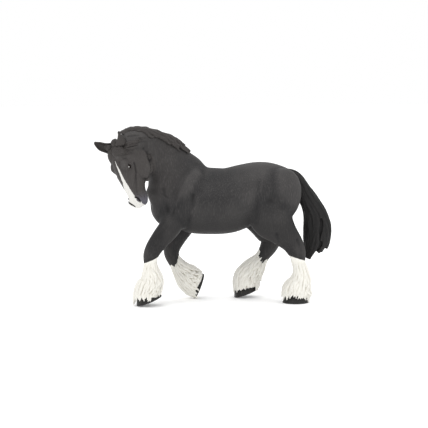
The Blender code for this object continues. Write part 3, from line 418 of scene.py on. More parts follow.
def loft(rings):
    """Points and faces of a closed body over rings with the same number of points."""
    sides = len(rings[0])
    points = np.array([p for ring in rings for p in ring], float)
    faces = []
    for r in range(len(rings) - 1):
        low, high = r * sides, (r + 1) * sides
        faces += [(low + i, low + (i + 1) % sides, high + (i + 1) % sides, high + i) for i in range(sides)]
    faces.append(tuple(range(sides))[::-1])
    faces.append(tuple(range((len(rings) - 1) * sides, len(rings) * sides)))
    return points, faces


def ball(matrix, radii):
    """Points and faces of an ellipsoid in the frame that the matrix gives."""
    bm = bmesh.new()
    shape = matrix @ Matrix.Diagonal((*radii, 1.0))
    bmesh.ops.create_uvsphere(bm, u_segments=32, v_segments=20, radius=1.0, matrix=shape)
    bm.verts.index_update()
    body = np.array([v.co for v in bm.verts]), [tuple(v.index for v in f.verts) for f in bm.faces]
    bm.free()
    return body


def head_axes():
    """Down the face, out of the forehead, and to the horse's left."""
    turn, tuck, roll = (math.radians(angle) for angle in (HEAD_TURN, HEAD_TUCK, HEAD_ROLL))
    facing = np.array((-math.cos(turn), -math.sin(turn), 0.0))
    up = np.array((0.0, 0.0, 1.0))
    level_left = np.cross(up, facing)
    nose_down = -up * math.cos(tuck) - facing * math.sin(tuck)
    forehead = facing * math.cos(tuck) - up * math.sin(tuck)
    down_face = nose_down * math.cos(roll) + level_left * math.sin(roll)
    return np.array((down_face, forehead, level_left * math.cos(roll) - nose_down * math.sin(roll)))


HEAD_AXES = head_axes()


def head_point(down, forehead, left):
    axes = HEAD_AXES * HEAD_SIZE
    return POLL + axes[0] * down + axes[1] * forehead + axes[2] * left


def head_matrix(down, forehead, left):
    """A frame at a point of the head: X down the face, Y out of the forehead, Z to the left."""
    columns = np.eye(4)
    columns[:3, :3] = HEAD_AXES * HEAD_SIZE
    columns[3, :3] = head_point(down, forehead, left)
    return Matrix(columns.T.tolist())


def in_head_frame(points):
    """Down the face, out of the forehead and to the left."""
    return (points - POLL) @ HEAD_AXES.T / HEAD_SIZE


def out_of_head_frame(local):
    return POLL + local @ (HEAD_AXES * HEAD_SIZE)


def folded(points, column):
    """The points with one column made positive, so that left and right lie on each other."""
    points = points.copy()
    points[:, column] = np.abs(points[:, column])
    return points


def mirrored_head_frame(points):
    return folded(in_head_frame(points), 2)


def both_sides(points):
    return folded(points, 1)


def skull_limb():
    rows = []
    for down, top, bottom, width, lean in SKULL:
        depth = (top - bottom) / 2 * HEAD_SIZE
        rows.append((*head_point(down, (top + bottom) / 2, 0.0), depth, width * HEAD_SIZE, lean))
    return Limb(rows, fixed_axes=tuple(HEAD_AXES[1:]))


def hoof_matrix(name):
    """A frame on the middle of the sole: X to the heel, Z out of the top of the hoof."""
    place, lift = HOOVES[name]
    return Matrix.Translation(place) @ Matrix.Rotation(math.radians(-lift), 4, "Y")


# Where the drawing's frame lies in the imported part's frame, found from the left eye
EYE_LOW, EYE_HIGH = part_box("eye_left")
DRAWING_SHIFT = (EYE_LOW + EYE_HIGH) / 2 / METRES - Vector(head_point(*EYE_PLACE))


def work_on(obj):
    """Makes the object the only selected and active one."""
    bpy.ops.object.select_all(action="DESELECT")
    obj.select_set(True)
    bpy.context.view_layer.objects.active = obj


def face_outward(obj):
    work_on(obj)
    bpy.ops.object.mode_set(mode="EDIT")
    bpy.ops.mesh.select_all(action="SELECT")
    bpy.ops.mesh.normals_make_consistent(inside=False)
    bpy.ops.object.mode_set(mode="OBJECT")


def apply_modifier(obj, kind, **settings):
    work_on(obj)
    modifier = obj.modifiers.new(kind.title(), kind)
    for key, value in settings.items():
        setattr(modifier, key, value)
    bpy.ops.object.modifier_apply(modifier=modifier.name)


def thin_out(obj, triangles, **settings):
    """Brings the object down to this many triangles, if it has more."""
    share = triangles / sum(len(p.vertices) - 2 for p in obj.data.polygons)
    if share < 1:
        apply_modifier(obj, "DECIMATE", ratio=share, **settings)


def add_object(operator, name, **settings):
    """The object that an operator adds, under its name."""
    bpy.ops.object.select_all(action="DESELECT")
    operator(**settings)
    bpy.context.active_object.name = name
    return bpy.context.active_object


def join_bodies(name, bodies):
    """One object from bodies of points and faces."""
    points, faces, start = [], [], 0
    for body_points, body_faces in bodies:
        points.append(body_points)
        faces += [tuple(start + i for i in face) for face in body_faces]
        start += len(body_points)
    mesh = bpy.data.meshes.new(name)
    mesh.from_pydata(np.vstack(points).tolist(), [], faces)
    obj = bpy.data.objects.new(name, mesh)
    bpy.context.scene.collection.objects.link(obj)
    face_outward(obj)
    return obj


def melt(obj, voxel):
    """Joins all the bodies of the object into one skin and keeps its largest surface."""
    apply_modifier(obj, "REMESH", mode="VOXEL", voxel_size=voxel)
    bm = bmesh.new()
    bm.from_mesh(obj.data)
    left, largest, loose = set(bm.verts), [], []
    while left:
        stack = [left.pop()]
        island = list(stack)
        while stack:
            for edge in stack.pop().link_edges:
                for v in edge.verts:
                    if v in left:
                        left.discard(v)
                        island.append(v)
                        stack.append(v)
        if len(island) > len(largest):
            island, largest = largest, island
        loose += island
    bmesh.ops.delete(bm, geom=loose, context="VERTS")
    bm.to_mesh(obj.data)
    bm.free()


def read_points(mesh):
    points, normals = np.empty(len(mesh.vertices) * 3), np.empty(len(mesh.vertices) * 3)
    mesh.vertices.foreach_get("co", points)
    mesh.vertex_normals.foreach_get("vector", normals)
    return points.reshape(-1, 3), normals.reshape(-1, 3)


def write_points(mesh, points):
    mesh.vertices.foreach_set("co", points.ravel())
    mesh.update()


class Net:
    """The edges of a mesh, for smoothing what its points carry."""

    def __init__(self, mesh):
        ends = np.empty(len(mesh.edges) * 2, np.int32)
        mesh.edges.foreach_get("vertices", ends)
        self.a, self.b = ends.reshape(-1, 2).T
        self.size = len(mesh.vertices)
        self.count = np.bincount(self.a, minlength=self.size) + np.bincount(self.b, minlength=self.size)

    def mean(self, values):
        """The mean of each point's neighbours."""
        columns = values.reshape(self.size, -1).T
        found = [
            np.bincount(self.a, c[self.b], self.size) + np.bincount(self.b, c[self.a], self.size)
            for c in columns
        ]
        return (np.array(found) / np.maximum(self.count, 1)).T.reshape(values.shape)

    def smooth(self, values, times, share=0.5):
        for _ in range(times):
            values = values + share * (self.mean(values) - values)
        return values


def strokes_rise(local, strokes):
    """How far each point is raised by the strokes, both given in one frame."""
    raised, hollow = np.zeros(len(local)), np.zeros(len(local))
    for start, end, reach, height in strokes:
        a, b = np.array(start), np.array(end)
        share = np.clip((local - a) @ (b - a) / ((b - a) @ (b - a)), 0.0, 1.0)
        apart = np.linalg.norm(local - a - share[:, None] * (b - a), axis=1)
        here = height * np.exp(-((apart / reach) ** 2))
        raised, hollow = np.maximum(raised, here), np.minimum(hollow, here)
    return raised + hollow


def carry(mesh, name, values, kind="FLOAT"):
    """Stores a value or a vector on each point of the mesh."""
    layer = mesh.attributes.new(name, kind, "POINT")
    layer.data.foreach_set("value" if kind == "FLOAT" else "vector", values.astype(np.float32).ravel())


def grooves(mesh, times, depth):
    """How deep each point lies in a groove of the surface, from -1 on a ridge to 1."""
    points, normals = read_points(mesh)
    net = Net(mesh)
    hollow = ((net.smooth(points, times) - points) * normals).sum(axis=1) / depth
    return np.clip(net.smooth(hollow, 2), -1.0, 1.0)


def place(obj):
    """Moves a finished piece from the drawing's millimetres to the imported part's frame."""
    obj.data.transform(Matrix.Scale(METRES, 4) @ Matrix.Translation(DRAWING_SHIFT))
    work_on(obj)
    bpy.ops.object.shade_smooth()


class Strands:
    """Locks of hair that overlap, and the lie of the hair along them."""

    SIDES = 8
    WIDEST = 0.45        # where a lock is widest, as a share of its length
    ROOT = 0.62          # its width at the root and at a pointed tip, as shares
    TIP = 0.12

    def __init__(self, seed):
        self.rng = random.Random(seed)
        self.bodies = []
        self.guides = []

    def add(self, path, across, width, thickness, blunt=0.0):
        """A tapered lock along a path; across points to its side at each step."""
        path = np.array(path, float)
        turns = np.arange(self.SIDES) * 2 * math.pi / self.SIDES
        rings = []
        along = 0.0
        for i, (p, tangent) in enumerate(zip(path, np.gradient(path, axis=0))):
            share = i / (len(path) - 1)
            if share > self.WIDEST:
                falling = ((share - self.WIDEST) / (1.0 - self.WIDEST)) ** (2.0 + 2.0 * blunt)
                swell = 1.0 - (1.0 - max(self.TIP, blunt)) * falling
            else:
                swell = self.ROOT + (1.0 - self.ROOT) * math.sin(share / self.WIDEST * math.pi / 2)
            outward = unit(np.cross(unit(tangent), across[i]))
            sideways = unit(np.cross(outward, unit(tangent)))
            w, h = width * swell / 2, thickness * (0.35 + 0.65 * swell) / 2
            rings.append([p + sideways * w * math.cos(a) + outward * h * math.sin(a) for a in turns])
            along += np.linalg.norm(path[i] - path[i - 1]) if i else 0.0
            self.guides.append((p, sideways, unit(tangent), along, len(self.bodies)))
        self.bodies.append(loft(rings))

    def follow(self, limb, span, turns, lifts, width, thickness, waves, steps=12, ripples=6.5, blunt=0.0,
               skin=None):
        """A lock on a limb's surface. span, turns and lifts are its values at the root and at the tip.

        waves is the least and the most that a lock sways, and skin the surface that it lies on where
        masses cover the limb.
        """
        wave, phase = self.rng.uniform(*waves), self.rng.uniform(0, 6)
        path, across = [], []
        for k in range(steps):
            share = k / (steps - 1)
            t = between(span, share)
            turn = between(turns, share) + wave * math.sin(phase + ripples * share)
            lift = between(lifts, min(1.0, 1.6 * share)) + 0.15 * math.sin(phase * 2 + 9 * share)
            here = limb.point(t, turn, lift)
            across.append(unit(limb.point(t, turn + 4.0, lift) - here))
            if skin:
                outside = limb.point(t, turn, lift + 12.0)
                inward = unit(here - outside)
                hit = skin.ray_cast(outside, inward)[0]
                here = np.array(hit) - inward * lift if hit else here
            path.append(here)
        self.add(path, across, width, thickness, blunt)

    def lie(self, points):
        """For each point the distance across and along its lock, and the lock's number."""
        tree = KDTree(len(self.guides))
        for i, guide in enumerate(self.guides):
            tree.insert(guide[0], i)
        tree.balance()
        nearest = np.array([tree.find(p)[1] for p in points])
        origins, sides, tangents = (np.array([g[k] for g in self.guides]) for k in range(3))
        along, number = (np.array([g[k] for g in self.guides], float) for k in (3, 4))
        apart = points - origins[nearest]
        u = (apart * sides[nearest]).sum(axis=1)
        v = along[nearest] + (apart * tangents[nearest]).sum(axis=1)
        return np.stack([u, v, number[nearest]], axis=1)


def ridged(lie, seed):
    """Height of fine ridges that run along the locks, from -1 to 1."""
    rng = np.random.default_rng(seed)
    shifts = rng.uniform(0, 2 * math.pi, (int(lie[:, 2].max()) + 1, 3))[lie[:, 2].astype(int)]
    u, v = lie[:, 0] * 2 * math.pi / RIDGE_SPACING, lie[:, 1]
    bend = 0.9 * np.sin(v * 0.8 + shifts[:, 0])
    return 0.6 * np.sin(u + bend + shifts[:, 1]) + 0.4 * np.sin(1.7 * u - bend + shifts[:, 2])


def fuse(name, strands, cores, voxel, triangles, ridge=0.10):
    """One sculpted mass from the locks and what they grow from, with ridges of hair along them."""
    obj = join_bodies(name, cores + strands.bodies)
    melt(obj, voxel)
    points, _ = read_points(obj.data)
    write_points(obj.data, Net(obj.data).smooth(points, 2))
    points, normals = read_points(obj.data)
    lift = ridge * ridged(strands.lie(points), len(strands.bodies))
    write_points(obj.data, points + normals * lift[:, None])
    thin_out(obj, triangles)
    points, _ = read_points(obj.data)
    carry(obj.data, "lie", strands.lie(points), "FLOAT_VECTOR")
    carry(obj.data, "groove", grooves(obj.data, 8, 0.22))
    place(obj)
    return obj


# --- Materials ---


class Value:
    """A socket of a node tree that can be used in sums."""

    def __init__(self, paint, socket):
        self.paint = paint
        self.socket = socket

    def maths(self, operation, *others):
        return self.paint.node("ShaderNodeMath", {"operation": operation}, self, *others)

    def __add__(self, other):
        return self.maths("ADD", other)

    def __mul__(self, other):
        return self.maths("MULTIPLY", other)

    def __sub__(self, other):
        return self.maths("SUBTRACT", other)

    def __rsub__(self, other):
        return self.paint.node("ShaderNodeMath", {"operation": "SUBTRACT"}, other, self)

    __radd__ = __add__
    __rmul__ = __mul__

    def clamp(self):
        return self.paint.node("ShaderNodeMath", {"operation": "ADD", "use_clamp": True}, self, 0.0)

    def step(self, low, high):
        """0 below low, 1 above high."""
        return self.paint.node("ShaderNodeMapRange", {"interpolation_type": "SMOOTHSTEP"}, self, low, high)


class Paint:
    """A painted finish, and the nodes that make it."""

    def __init__(self, name, roughness, specular=0.3):
        self.material = bpy.data.materials.new(name)
        self.material.use_nodes = True
        self.tree = self.material.node_tree
        self.shader = self.tree.nodes["Principled BSDF"]
        self.shader.inputs["Roughness"].default_value = roughness
        self.shader.inputs["Specular IOR Level"].default_value = specular

    def node(self, kind, settings, *inputs, output=0, **named):
        """A node of this kind with its settings made first, then its sockets' values or links."""
        made = self.tree.nodes.new(kind)
        for key, value in settings.items():
            setattr(made, key, value)
        pairs = list(zip([s for s in made.inputs if s.enabled], inputs))
        pairs += [(made.inputs[key.replace("_", " ")], value) for key, value in named.items()]
        for socket, value in pairs:
            if isinstance(value, Value):
                self.tree.links.new(value.socket, socket)
            else:
                socket.default_value = value
        return Value(self, [s for s in made.outputs if s.enabled][output])

    def attribute(self, name, vector=False):
        return self.node("ShaderNodeAttribute", {"attribute_name": name}, output=1 if vector else 2)

    def position(self):
        return self.node("ShaderNodeTexCoord", {}, output=3)

    def stretched(self, vector, scale):
        return self.node("ShaderNodeMapping", {}, vector, Scale=scale)

    def noise(self, vector, scale=1.0, detail=3.0, distortion=0.0):
        return self.node("ShaderNodeTexNoise", {}, vector, Scale=scale, Detail=detail, Distortion=distortion)

    def mix(self, share, first, second):
        return self.node("ShaderNodeMix", {"data_type": "RGBA"}, share, first, second)

    def combed(self, lengthwise):
        """Noise drawn out along the locks of a piece of hair."""
        lie = self.attribute("lie", vector=True)
        return self.noise(self.stretched(lie, (5.0, lengthwise, 3.7)), 1.0, 4.0, 0.3)

    def bump(self, height, distance, strength):
        return self.node("ShaderNodeBump", {}, Strength=strength, Distance=distance, Height=height)

    def feed(self, **links):
        for key, value in links.items():
            self.tree.links.new(value.socket, self.shader.inputs[key.replace("_", " ")])

    def cover(self, obj):
        obj.data.materials.clear()
        obj.data.materials.append(self.material)


BLACK = (0.0, 0.0, 0.0)
WHITE = (1.0, 1.0, 1.0)


def mixed(colour, share, other=WHITE):
    return tuple(c + (o - c) * share for c, o in zip(colour[:3], other)) + (1.0,)


def coat_paint(colours):
    """Matte black coat with brushed hair, warmer on the head, with white blaze and stockings, painted shade
    in the hollows and low on the body and a painted sheen on the ridges.
    """
    paint = Paint("coat_paint", 0.62, specular=0.22)
    place_of = paint.position()
    upright = paint.noise(paint.stretched(place_of, (2600.0, 2600.0, 300.0)), detail=4.0, distortion=0.4)
    slant = {"Rotation": (0.0, math.radians(38.0), 0.0), "Scale": (2400.0, 2600.0, 320.0)}
    slanted = paint.node("ShaderNodeMapping", {}, place_of, **slant)
    slanted = paint.noise(slanted, detail=4.0, distortion=0.5)
    on_neck = paint.attribute("on_neck")
    hair = upright * (1 - on_neck) + slanted * on_neck
    cloud = paint.noise(place_of, 90.0, 3.0)
    groove = paint.attribute("groove")
    form = paint.attribute("form")
    warm = (paint.attribute("on_head") + on_neck * 0.45).clamp()
    black = paint.mix(warm, colours.coat, colours.head)
    # Lighter grey streaks along the hair and in soft patches, kept out of the grooves, and lighter on broad
    # ridges: painted sheen and painted highlight
    painted_sheen = (hair.step(0.45, 0.72) * 0.4 + cloud.step(0.35, 0.75) * 0.2) * (1 - groove.step(0.0, 0.5))
    black = paint.mix(painted_sheen + (0 - form).step(0.15, 0.9) * 0.35, black, mixed(colours.head, 0.035))
    # Darker on the lower body, most under the belly and less again down the legs, and in fine grooves and
    # broad hollows: painted shade
    height = paint.node("ShaderNodeSeparateXYZ", {}, place_of, output=2)
    painted_underside_shade = (1 - height.step(0.036, 0.082)) * (0.45 + height.step(0.034, 0.052) * 0.55)
    hollow = (groove.step(0.0, 0.6) * 0.7 + form.step(0.10, 0.9) * 0.25 + painted_underside_shade * 0.75).clamp()
    black = paint.mix(hollow, black, mixed(colours.coat, 0.65, BLACK))
    black = paint.mix(paint.attribute("muzzle") * (0.75 + cloud * 0.4), black, colours.muzzle)
    marked = (paint.attribute("marking") + (hair - 0.5) * 0.7).step(-0.12, 0.12)
    washed = groove.step(-0.1, 0.6) * 0.6 + (hair - 0.5) * 0.3
    white = paint.mix(washed.clamp(), colours.white, colours.wash)
    # The white on the head is greyed where it faces the lights more: painted shade
    white = paint.mix(paint.attribute("on_head") * 0.6, white, (0.56, 0.555, 0.54, 1.0))
    colour = paint.mix(marked, black, white)
    # Painted shade in the nostrils and the dark rim of the eyes go over all
    paint.feed(
        Base_Color=paint.mix(paint.attribute("nostril_shade_and_eye_ink").step(0.45, 0.8), colour, (0.008, 0.007, 0.007, 1.0)),
        Roughness=(0.58 + (cloud - 0.5) * 0.18 + marked * 0.04),
        Normal=paint.bump(hair * 0.8 + cloud * 0.2, 0.00016, 0.55),
    )
    return paint


def feather_paint(colours):
    """Off-white hair with a greyish yellow wash in its grooves."""
    paint = Paint("feather_paint", 0.62)
    hair = paint.combed(0.55)
    groove = paint.attribute("groove")
    cloud = paint.noise(paint.position(), 160.0, 2.0)
    depth = (groove.step(-0.25, 0.65) + (hair - 0.5) * 0.5 + (cloud - 0.5) * 0.4).clamp()
    colour = paint.mix(depth, colours.white, colours.wash)
    deep = groove.step(0.45, 1.0) * 0.55
    paint.feed(
        Base_Color=paint.mix(deep, colour, mixed(colours.wash, 0.55, (0.10, 0.09, 0.07))),
        Roughness=0.60 + (hair - 0.5) * 0.12,
        Normal=paint.bump(hair, 0.00014, 0.6),
    )
    return paint


def hair_paint(colours):
    """Black mane and tail: painted shade in the grooves and a faint painted highlight on the ridges."""
    paint = Paint("hair_paint", 0.56, specular=0.2)
    hair = paint.combed(0.5)
    groove = paint.attribute("groove")
    base = paint.mix(paint.attribute("on_head"), colours.hair, colours.head)
    # Lighter where the hair stands out of the grooves: painted highlight
    ridge = (1 - groove).step(0.9, 1.6) * 0.7 * hair.step(0.35, 0.7)
    base = paint.mix(ridge, base, mixed(colours.head, 0.03))
    paint.feed(
        # Darker in the grooves: painted shade
        Base_Color=paint.mix(groove.step(0.0, 0.8) * 0.85, base, mixed(colours.hair, 0.7, BLACK)),
        Roughness=0.55 + (hair - 0.5) * 0.15,
        Normal=paint.bump(hair, 0.00014, 0.6),
    )
    return paint


def hoof_paint(colours):
    """Nearly black horn with faint rings and scuffs."""
    paint = Paint("hoof_paint", 0.42)
    place_of = paint.position()
    rings = paint.noise(paint.stretched(place_of, (60.0, 60.0, 1400.0)), 1.0, 3.0, 0.2)
    scuff = paint.noise(place_of, 420.0, 4.0, 0.6)
    scuffed = mixed(colours.horn, 0.16, (0.9, 0.8, 0.65))
    paint.feed(
        Base_Color=paint.mix(scuff.step(0.55, 0.8) * 0.45, colours.horn, scuffed),
        Roughness=0.42 + (scuff - 0.5) * 0.3,
        Normal=paint.bump(rings * 0.7 + scuff * 0.3, 0.00012, 0.5),
    )
    return paint


def eye_paint(colours):
    """Dark brown, glossy, with a black pupil, a thin dark rim and a painted glint."""
    paint = Paint("eye_paint", 0.12, specular=0.12)
    across = paint.attribute("pupil")
    speckle = paint.noise(paint.position(), 2600.0, 3.0)
    pupil = (0.004, 0.004, 0.004, 1.0)
    iris = paint.mix(across.step(0.45, 0.62), pupil, colours.iris)
    iris = paint.mix((speckle - 0.5) * 0.4, iris, (*BLACK, 1.0))
    iris = paint.mix(across.step(0.95, 1.1), iris, pupil)
    glint = 1 - paint.attribute("glint").step(0.75, 1.0)
    paint.feed(Base_Color=paint.mix(glint, iris, (0.86, 0.86, 0.84, 1.0)), Roughness=0.10 + speckle * 0.06)
    return paint


# --- What a user would change ---


def colour(name, description, *rgb):
    settings = {"subtype": "COLOR", "size": 4, "min": 0, "max": 1}
    return FloatVectorProperty(name=name, description=description, default=(*rgb, 1.0), **settings)


def grid(name, description, millimetres):
    return FloatProperty(name=name, description=description, default=millimetres, min=0.1, max=2.0)


class PaintColours(bpy.types.PropertyGroup):
    coat: colour("Coat", "Black of the body", 0.0185, 0.0178, 0.0185)
    head: colour("Head", "Warmer black of the head", 0.042, 0.0375, 0.0355)
    hair: colour("Hair", "Black of mane and tail", 0.0095, 0.0092, 0.0092)
    white: colour("White", "Blaze, stockings and feather", 0.785, 0.77, 0.72)
    wash: colour("Wash", "Thin wash in the grooves of the white hair", 0.46, 0.43, 0.35)
    muzzle: colour("Muzzle", "Grey skin about the nostrils and chin", 0.088, 0.085, 0.101)
    horn: colour("Horn", "Colour of the hooves", 0.014, 0.013, 0.012)
    iris: colour("Iris", "Colour of the eyes", 0.012, 0.006, 0.003)


class SculptSizes(bpy.types.PropertyGroup):
    skin_grid: grid("Skin grid", "Cell of the grid that melts the body together (mm)", 0.34)
    feather_grid: grid("Feather grid", "Cell of the grid that melts a feather's locks together (mm)", 0.22)
    hair_grid: grid("Hair grid", "Cell of the grid for the mane and the tail (mm)", 0.26)
    skin_triangles: IntProperty(
        name="Skin triangles", description="Most triangles of the body's skin", default=188000, min=10000,
    )
    piece_triangles: IntProperty(
        name="Hair triangles", description="Most triangles of one piece of hair", default=120000, min=10000,
    )
    seed: IntProperty(name="Seed", description="Draws the variation of the locks", default=7, min=0)


class StageSizes(bpy.types.PropertyGroup):
    floor: FloatProperty(name="Floor", description="Half side of the floor (m)", default=3.0, min=0.5)
    key_light: FloatProperty(
        name="Key light", description="Strength of the large light (W)", default=5.0, min=0.0,
    )
    sky: FloatProperty(name="Surroundings", description="Brightness of the pale room", default=1.0, min=0.0)


# --- Pieces ---


def head_bodies():
    bodies = [skull_limb().body()]
    for down, forehead, left, *radii in HEAD_MASSES:
        bodies += [ball(head_matrix(down, forehead, side * left), radii) for side in (-1, 1)]
    return bodies


@functools.cache
def surface_of(with_neck):
    """A tree of the head's surface, or of the head's and the neck's."""
    helper = join_bodies("helper", head_bodies() + ([Limb(NECK).body()] if with_neck else []))
    tree = BVHTree.FromPolygons(
        [v.co for v in helper.data.vertices], [tuple(p.vertices) for p in helper.data.polygons],
    )
    bpy.data.objects.remove(helper)
    return tree


def reach_of_head(points):
    """1 on the head, falling to 0 on the neck."""
    tree = surface_of(False)
    apart = np.full(len(points), HEAD_ENDS)
    low, high = HEAD_BOX
    for i in np.nonzero(((points > low) & (points < high)).all(axis=1))[0]:
        apart[i] = tree.find_nearest(points[i])[3]
    return np.clip((HEAD_ENDS - apart) / HEAD_FADE, 0.0, 1.0)


def eye_opening(local):
    """Distance and way from the middle of the eye, and how far each point lies inside the lids' opening."""
    apart = local - EYE_PLACE
    distance = np.linalg.norm(apart, axis=1)
    way = apart / np.maximum(distance, 1e-6)[:, None]
    outward, long_axis = unit(EYE_OUTWARD), unit(EYE_LENGTHWISE)
    long_axis = unit(long_axis - outward * (long_axis @ outward))
    s, h = way @ long_axis * EYE_RADIUS, way @ np.cross(outward, long_axis) * EYE_RADIUS
    inside = EYE_HALF_HEIGHT * (1.0 - (s / EYE_HALF_LENGTH) ** 2) - np.abs(h)
    return distance, way, inside, (distance < EYE_REGION) & (way @ outward > 0.15)


def press_eye(local):
    """Moves the points about an eye so that two lids close over the ball. local is in the head's frame."""
    distance, way, inside, near = eye_opening(local)
    rim = EYE_RADIUS + LID_LIFT + 0.10 * np.clip(-inside, 0, 1)
    # Further out the lid runs into the face, and skin that already stands out keeps most of its height
    blend = np.clip((distance - 2.4) / 1.2, 0.0, 1.0)
    lid = rim * (1 - blend) + np.maximum(distance, rim) * blend
    lid = np.where(distance > lid, distance * 0.75 + lid * 0.25, lid)
    wanted = np.where(inside > -0.10, EYE_RADIUS + LID_EDGE, lid)
    wanted = np.where(inside > 0.06, EYE_RADIUS - SOCKET_DEPTH, wanted)
    moved = EYE_PLACE + way * wanted[:, None]
    return np.where(near[:, None], moved, local)


FACE_TRIANGLES = 30000   # room for what refine_face adds


def build_skin(colours, sizes):
    """Body, neck, head and upper legs, melted together and smoothed, with muscles, face and markings."""
    bodies = [Limb(TRUNK).body(), Limb(NECK).body()]
    bodies += [Limb(stations[:FETLOCK]).body() for stations in LEGS.values()]
    for x, y, z, rx, ry, rz, tilt in MUSCLES:
        for side in (-1, 1):
            matrix = Matrix.Translation((x, side * y, z)) @ Matrix.Rotation(math.radians(tilt), 4, "Y")
            bodies.append(ball(matrix, (rx, ry, rz)))
    bodies.append(ball(Matrix.Translation(SHEATH[0]), SHEATH[1]))
    skin = join_bodies("horse_skin", bodies + head_bodies())
    melt(skin, sizes.skin_grid)

    points, _ = read_points(skin.data)
    net = Net(skin.data)
    head = reach_of_head(points)
    points = net.smooth(points, 8)
    head_kept = net.smooth(head, 6)
    # The trunk is smoothed most, the legs less and the head least
    bulk = np.clip((points[:, 2] - 40.0) / 14.0, 0.15, 1) * (1 - head_kept)
    points = net.smooth(points, 60, 0.5 * bulk[:, None])
    blend = strokes_rise(mirrored_head_frame(points), HEAD_BLENDS)
    points = net.smooth(points, 50, 0.5 * blend[:, None])
    blend = strokes_rise(both_sides(points), BODY_BLENDS) * (1 - head_kept)
    points = net.smooth(points, 160, 0.5 * blend[:, None])
    write_points(skin.data, points)
    points, normals = read_points(skin.data)
    rise = strokes_rise(both_sides(points), BODY_STROKES)
    rise += strokes_rise(mirrored_head_frame(points), HEAD_STROKES)
    write_points(skin.data, points + normals * rise[:, None])

    group = skin.vertex_groups.new(name="thin")
    for i, share in enumerate(1 - 0.75 * head_kept):
        group.add([i], share, "REPLACE")
    thin_out(skin, sizes.skin_triangles - FACE_TRIANGLES, vertex_group="thin", vertex_group_factor=1.0)
    skin.vertex_groups.clear()
    refine_face(skin)
    mark_skin(skin)
    place(skin)
    coat_paint(colours).cover(skin)
    return skin


def refine_face(skin):
    """Splits the faces about the eyes and the muzzle, then cuts lids, nostrils and mouth."""
    bm = bmesh.new()
    bm.from_mesh(skin.data)
    local = mirrored_head_frame(np.array([v.co for v in bm.verts]))
    by_eye = np.linalg.norm(local - EYE_PLACE, axis=1) < 4.6
    by_mouth = (local[:, 0] > 36.0) & (np.abs(local[:, 1]) < 10) & (local[:, 2] < 9)
    chosen = by_eye | by_mouth
    edges = [e for e in bm.edges if chosen[e.verts[0].index] and chosen[e.verts[1].index]]
    bmesh.ops.subdivide_edges(bm, edges=edges, cuts=1, smooth=0.5)
    bmesh.ops.triangulate(bm, faces=bm.faces)
    bm.to_mesh(skin.data)
    bm.free()
    points, normals = read_points(skin.data)
    mirrored = mirrored_head_frame(points)
    # Nostrils painted dark as their shade, and a dark painted rim at the opening of the eyes
    dark = [(start, end, reach * 1.25, 1.0) for start, end, reach, rise in FACE_STROKES if rise < -1]
    nostril_shade_and_eye_ink = strokes_rise(mirrored, dark)
    dark = [(start, end, 1.1, 1.0) for start, end in RIGHT_NOSTRIL]
    nostril_shade_and_eye_ink = np.maximum(nostril_shade_and_eye_ink, strokes_rise(in_head_frame(points), dark))
    _, _, inside, near = eye_opening(mirrored)
    carry(skin.data, "nostril_shade_and_eye_ink", np.maximum(nostril_shade_and_eye_ink, near * np.clip(1.0 + inside * 4.0, 0, 1)))
    points = points + normals * strokes_rise(mirrored, FACE_STROKES)[:, None]
    side = np.sign(in_head_frame(points)[:, 2])
    local = press_eye(mirrored_head_frame(points))
    local[:, 2] *= np.where(side == 0, 1, side)
    write_points(skin.data, Net(skin.data).smooth(out_of_head_frame(local), 1, 0.25))


def mark_skin(skin):
    """Stores where the white markings and the grey muzzle lie, and how deep the grooves are, with painted
    shadow lines on the head.
    """
    points, _ = read_points(skin.data)
    on_head = reach_of_head(points)
    down, forehead, left = in_head_frame(points).T
    stops, middles, halves = np.array(BLAZE).T
    half = np.interp(down, stops, halves) - np.abs(left - np.interp(down, stops, middles))
    front = forehead > np.interp(down, *np.array(BLAZE_FRONT).T)
    lip = down - LIP_WHITE - 0.7 * np.maximum(0, -3.5 - forehead)
    blaze = np.maximum(np.where(front, half, UNMARKED), lip) * HEAD_SIZE
    white = np.where(on_head > 0.3, blaze, UNMARKED)
    for name, (centre, _) in STOCKINGS.items():
        away = points - centre
        near = (np.abs(away[:, 0]) < LEG_REACH) & (away[:, 1] * centre[1] > -INNER_REACH)
        near &= points[:, 2] < STOCKING_TOP
        white = np.maximum(white, np.where(near, -over_stocking(name, points), UNMARKED))
    carry(skin.data, "marking", white)
    carry(skin.data, "muzzle", np.where(on_head > 0.3, np.clip((down - 34.0) / 8.0, 0, 1) ** 2, 0.0))
    # Broad hollows, then fine ones, with the painted shadow lines of the head added to the fine ones
    carry(skin.data, "form", grooves(skin.data, 120, 0.9))
    painted_shadow = strokes_rise(mirrored_head_frame(points), HEAD_SHADES)
    carry(skin.data, "groove", np.clip(grooves(skin.data, 14, 0.30) + painted_shadow, -1, 1))
    carry(skin.data, "on_head", on_head)
    along_neck = np.clip((-14.0 - points[:, 0]) / 14.0, 0, 1) * np.clip((points[:, 2] - 66.0) / 10.0, 0, 1)
    carry(skin.data, "on_neck", along_neck)


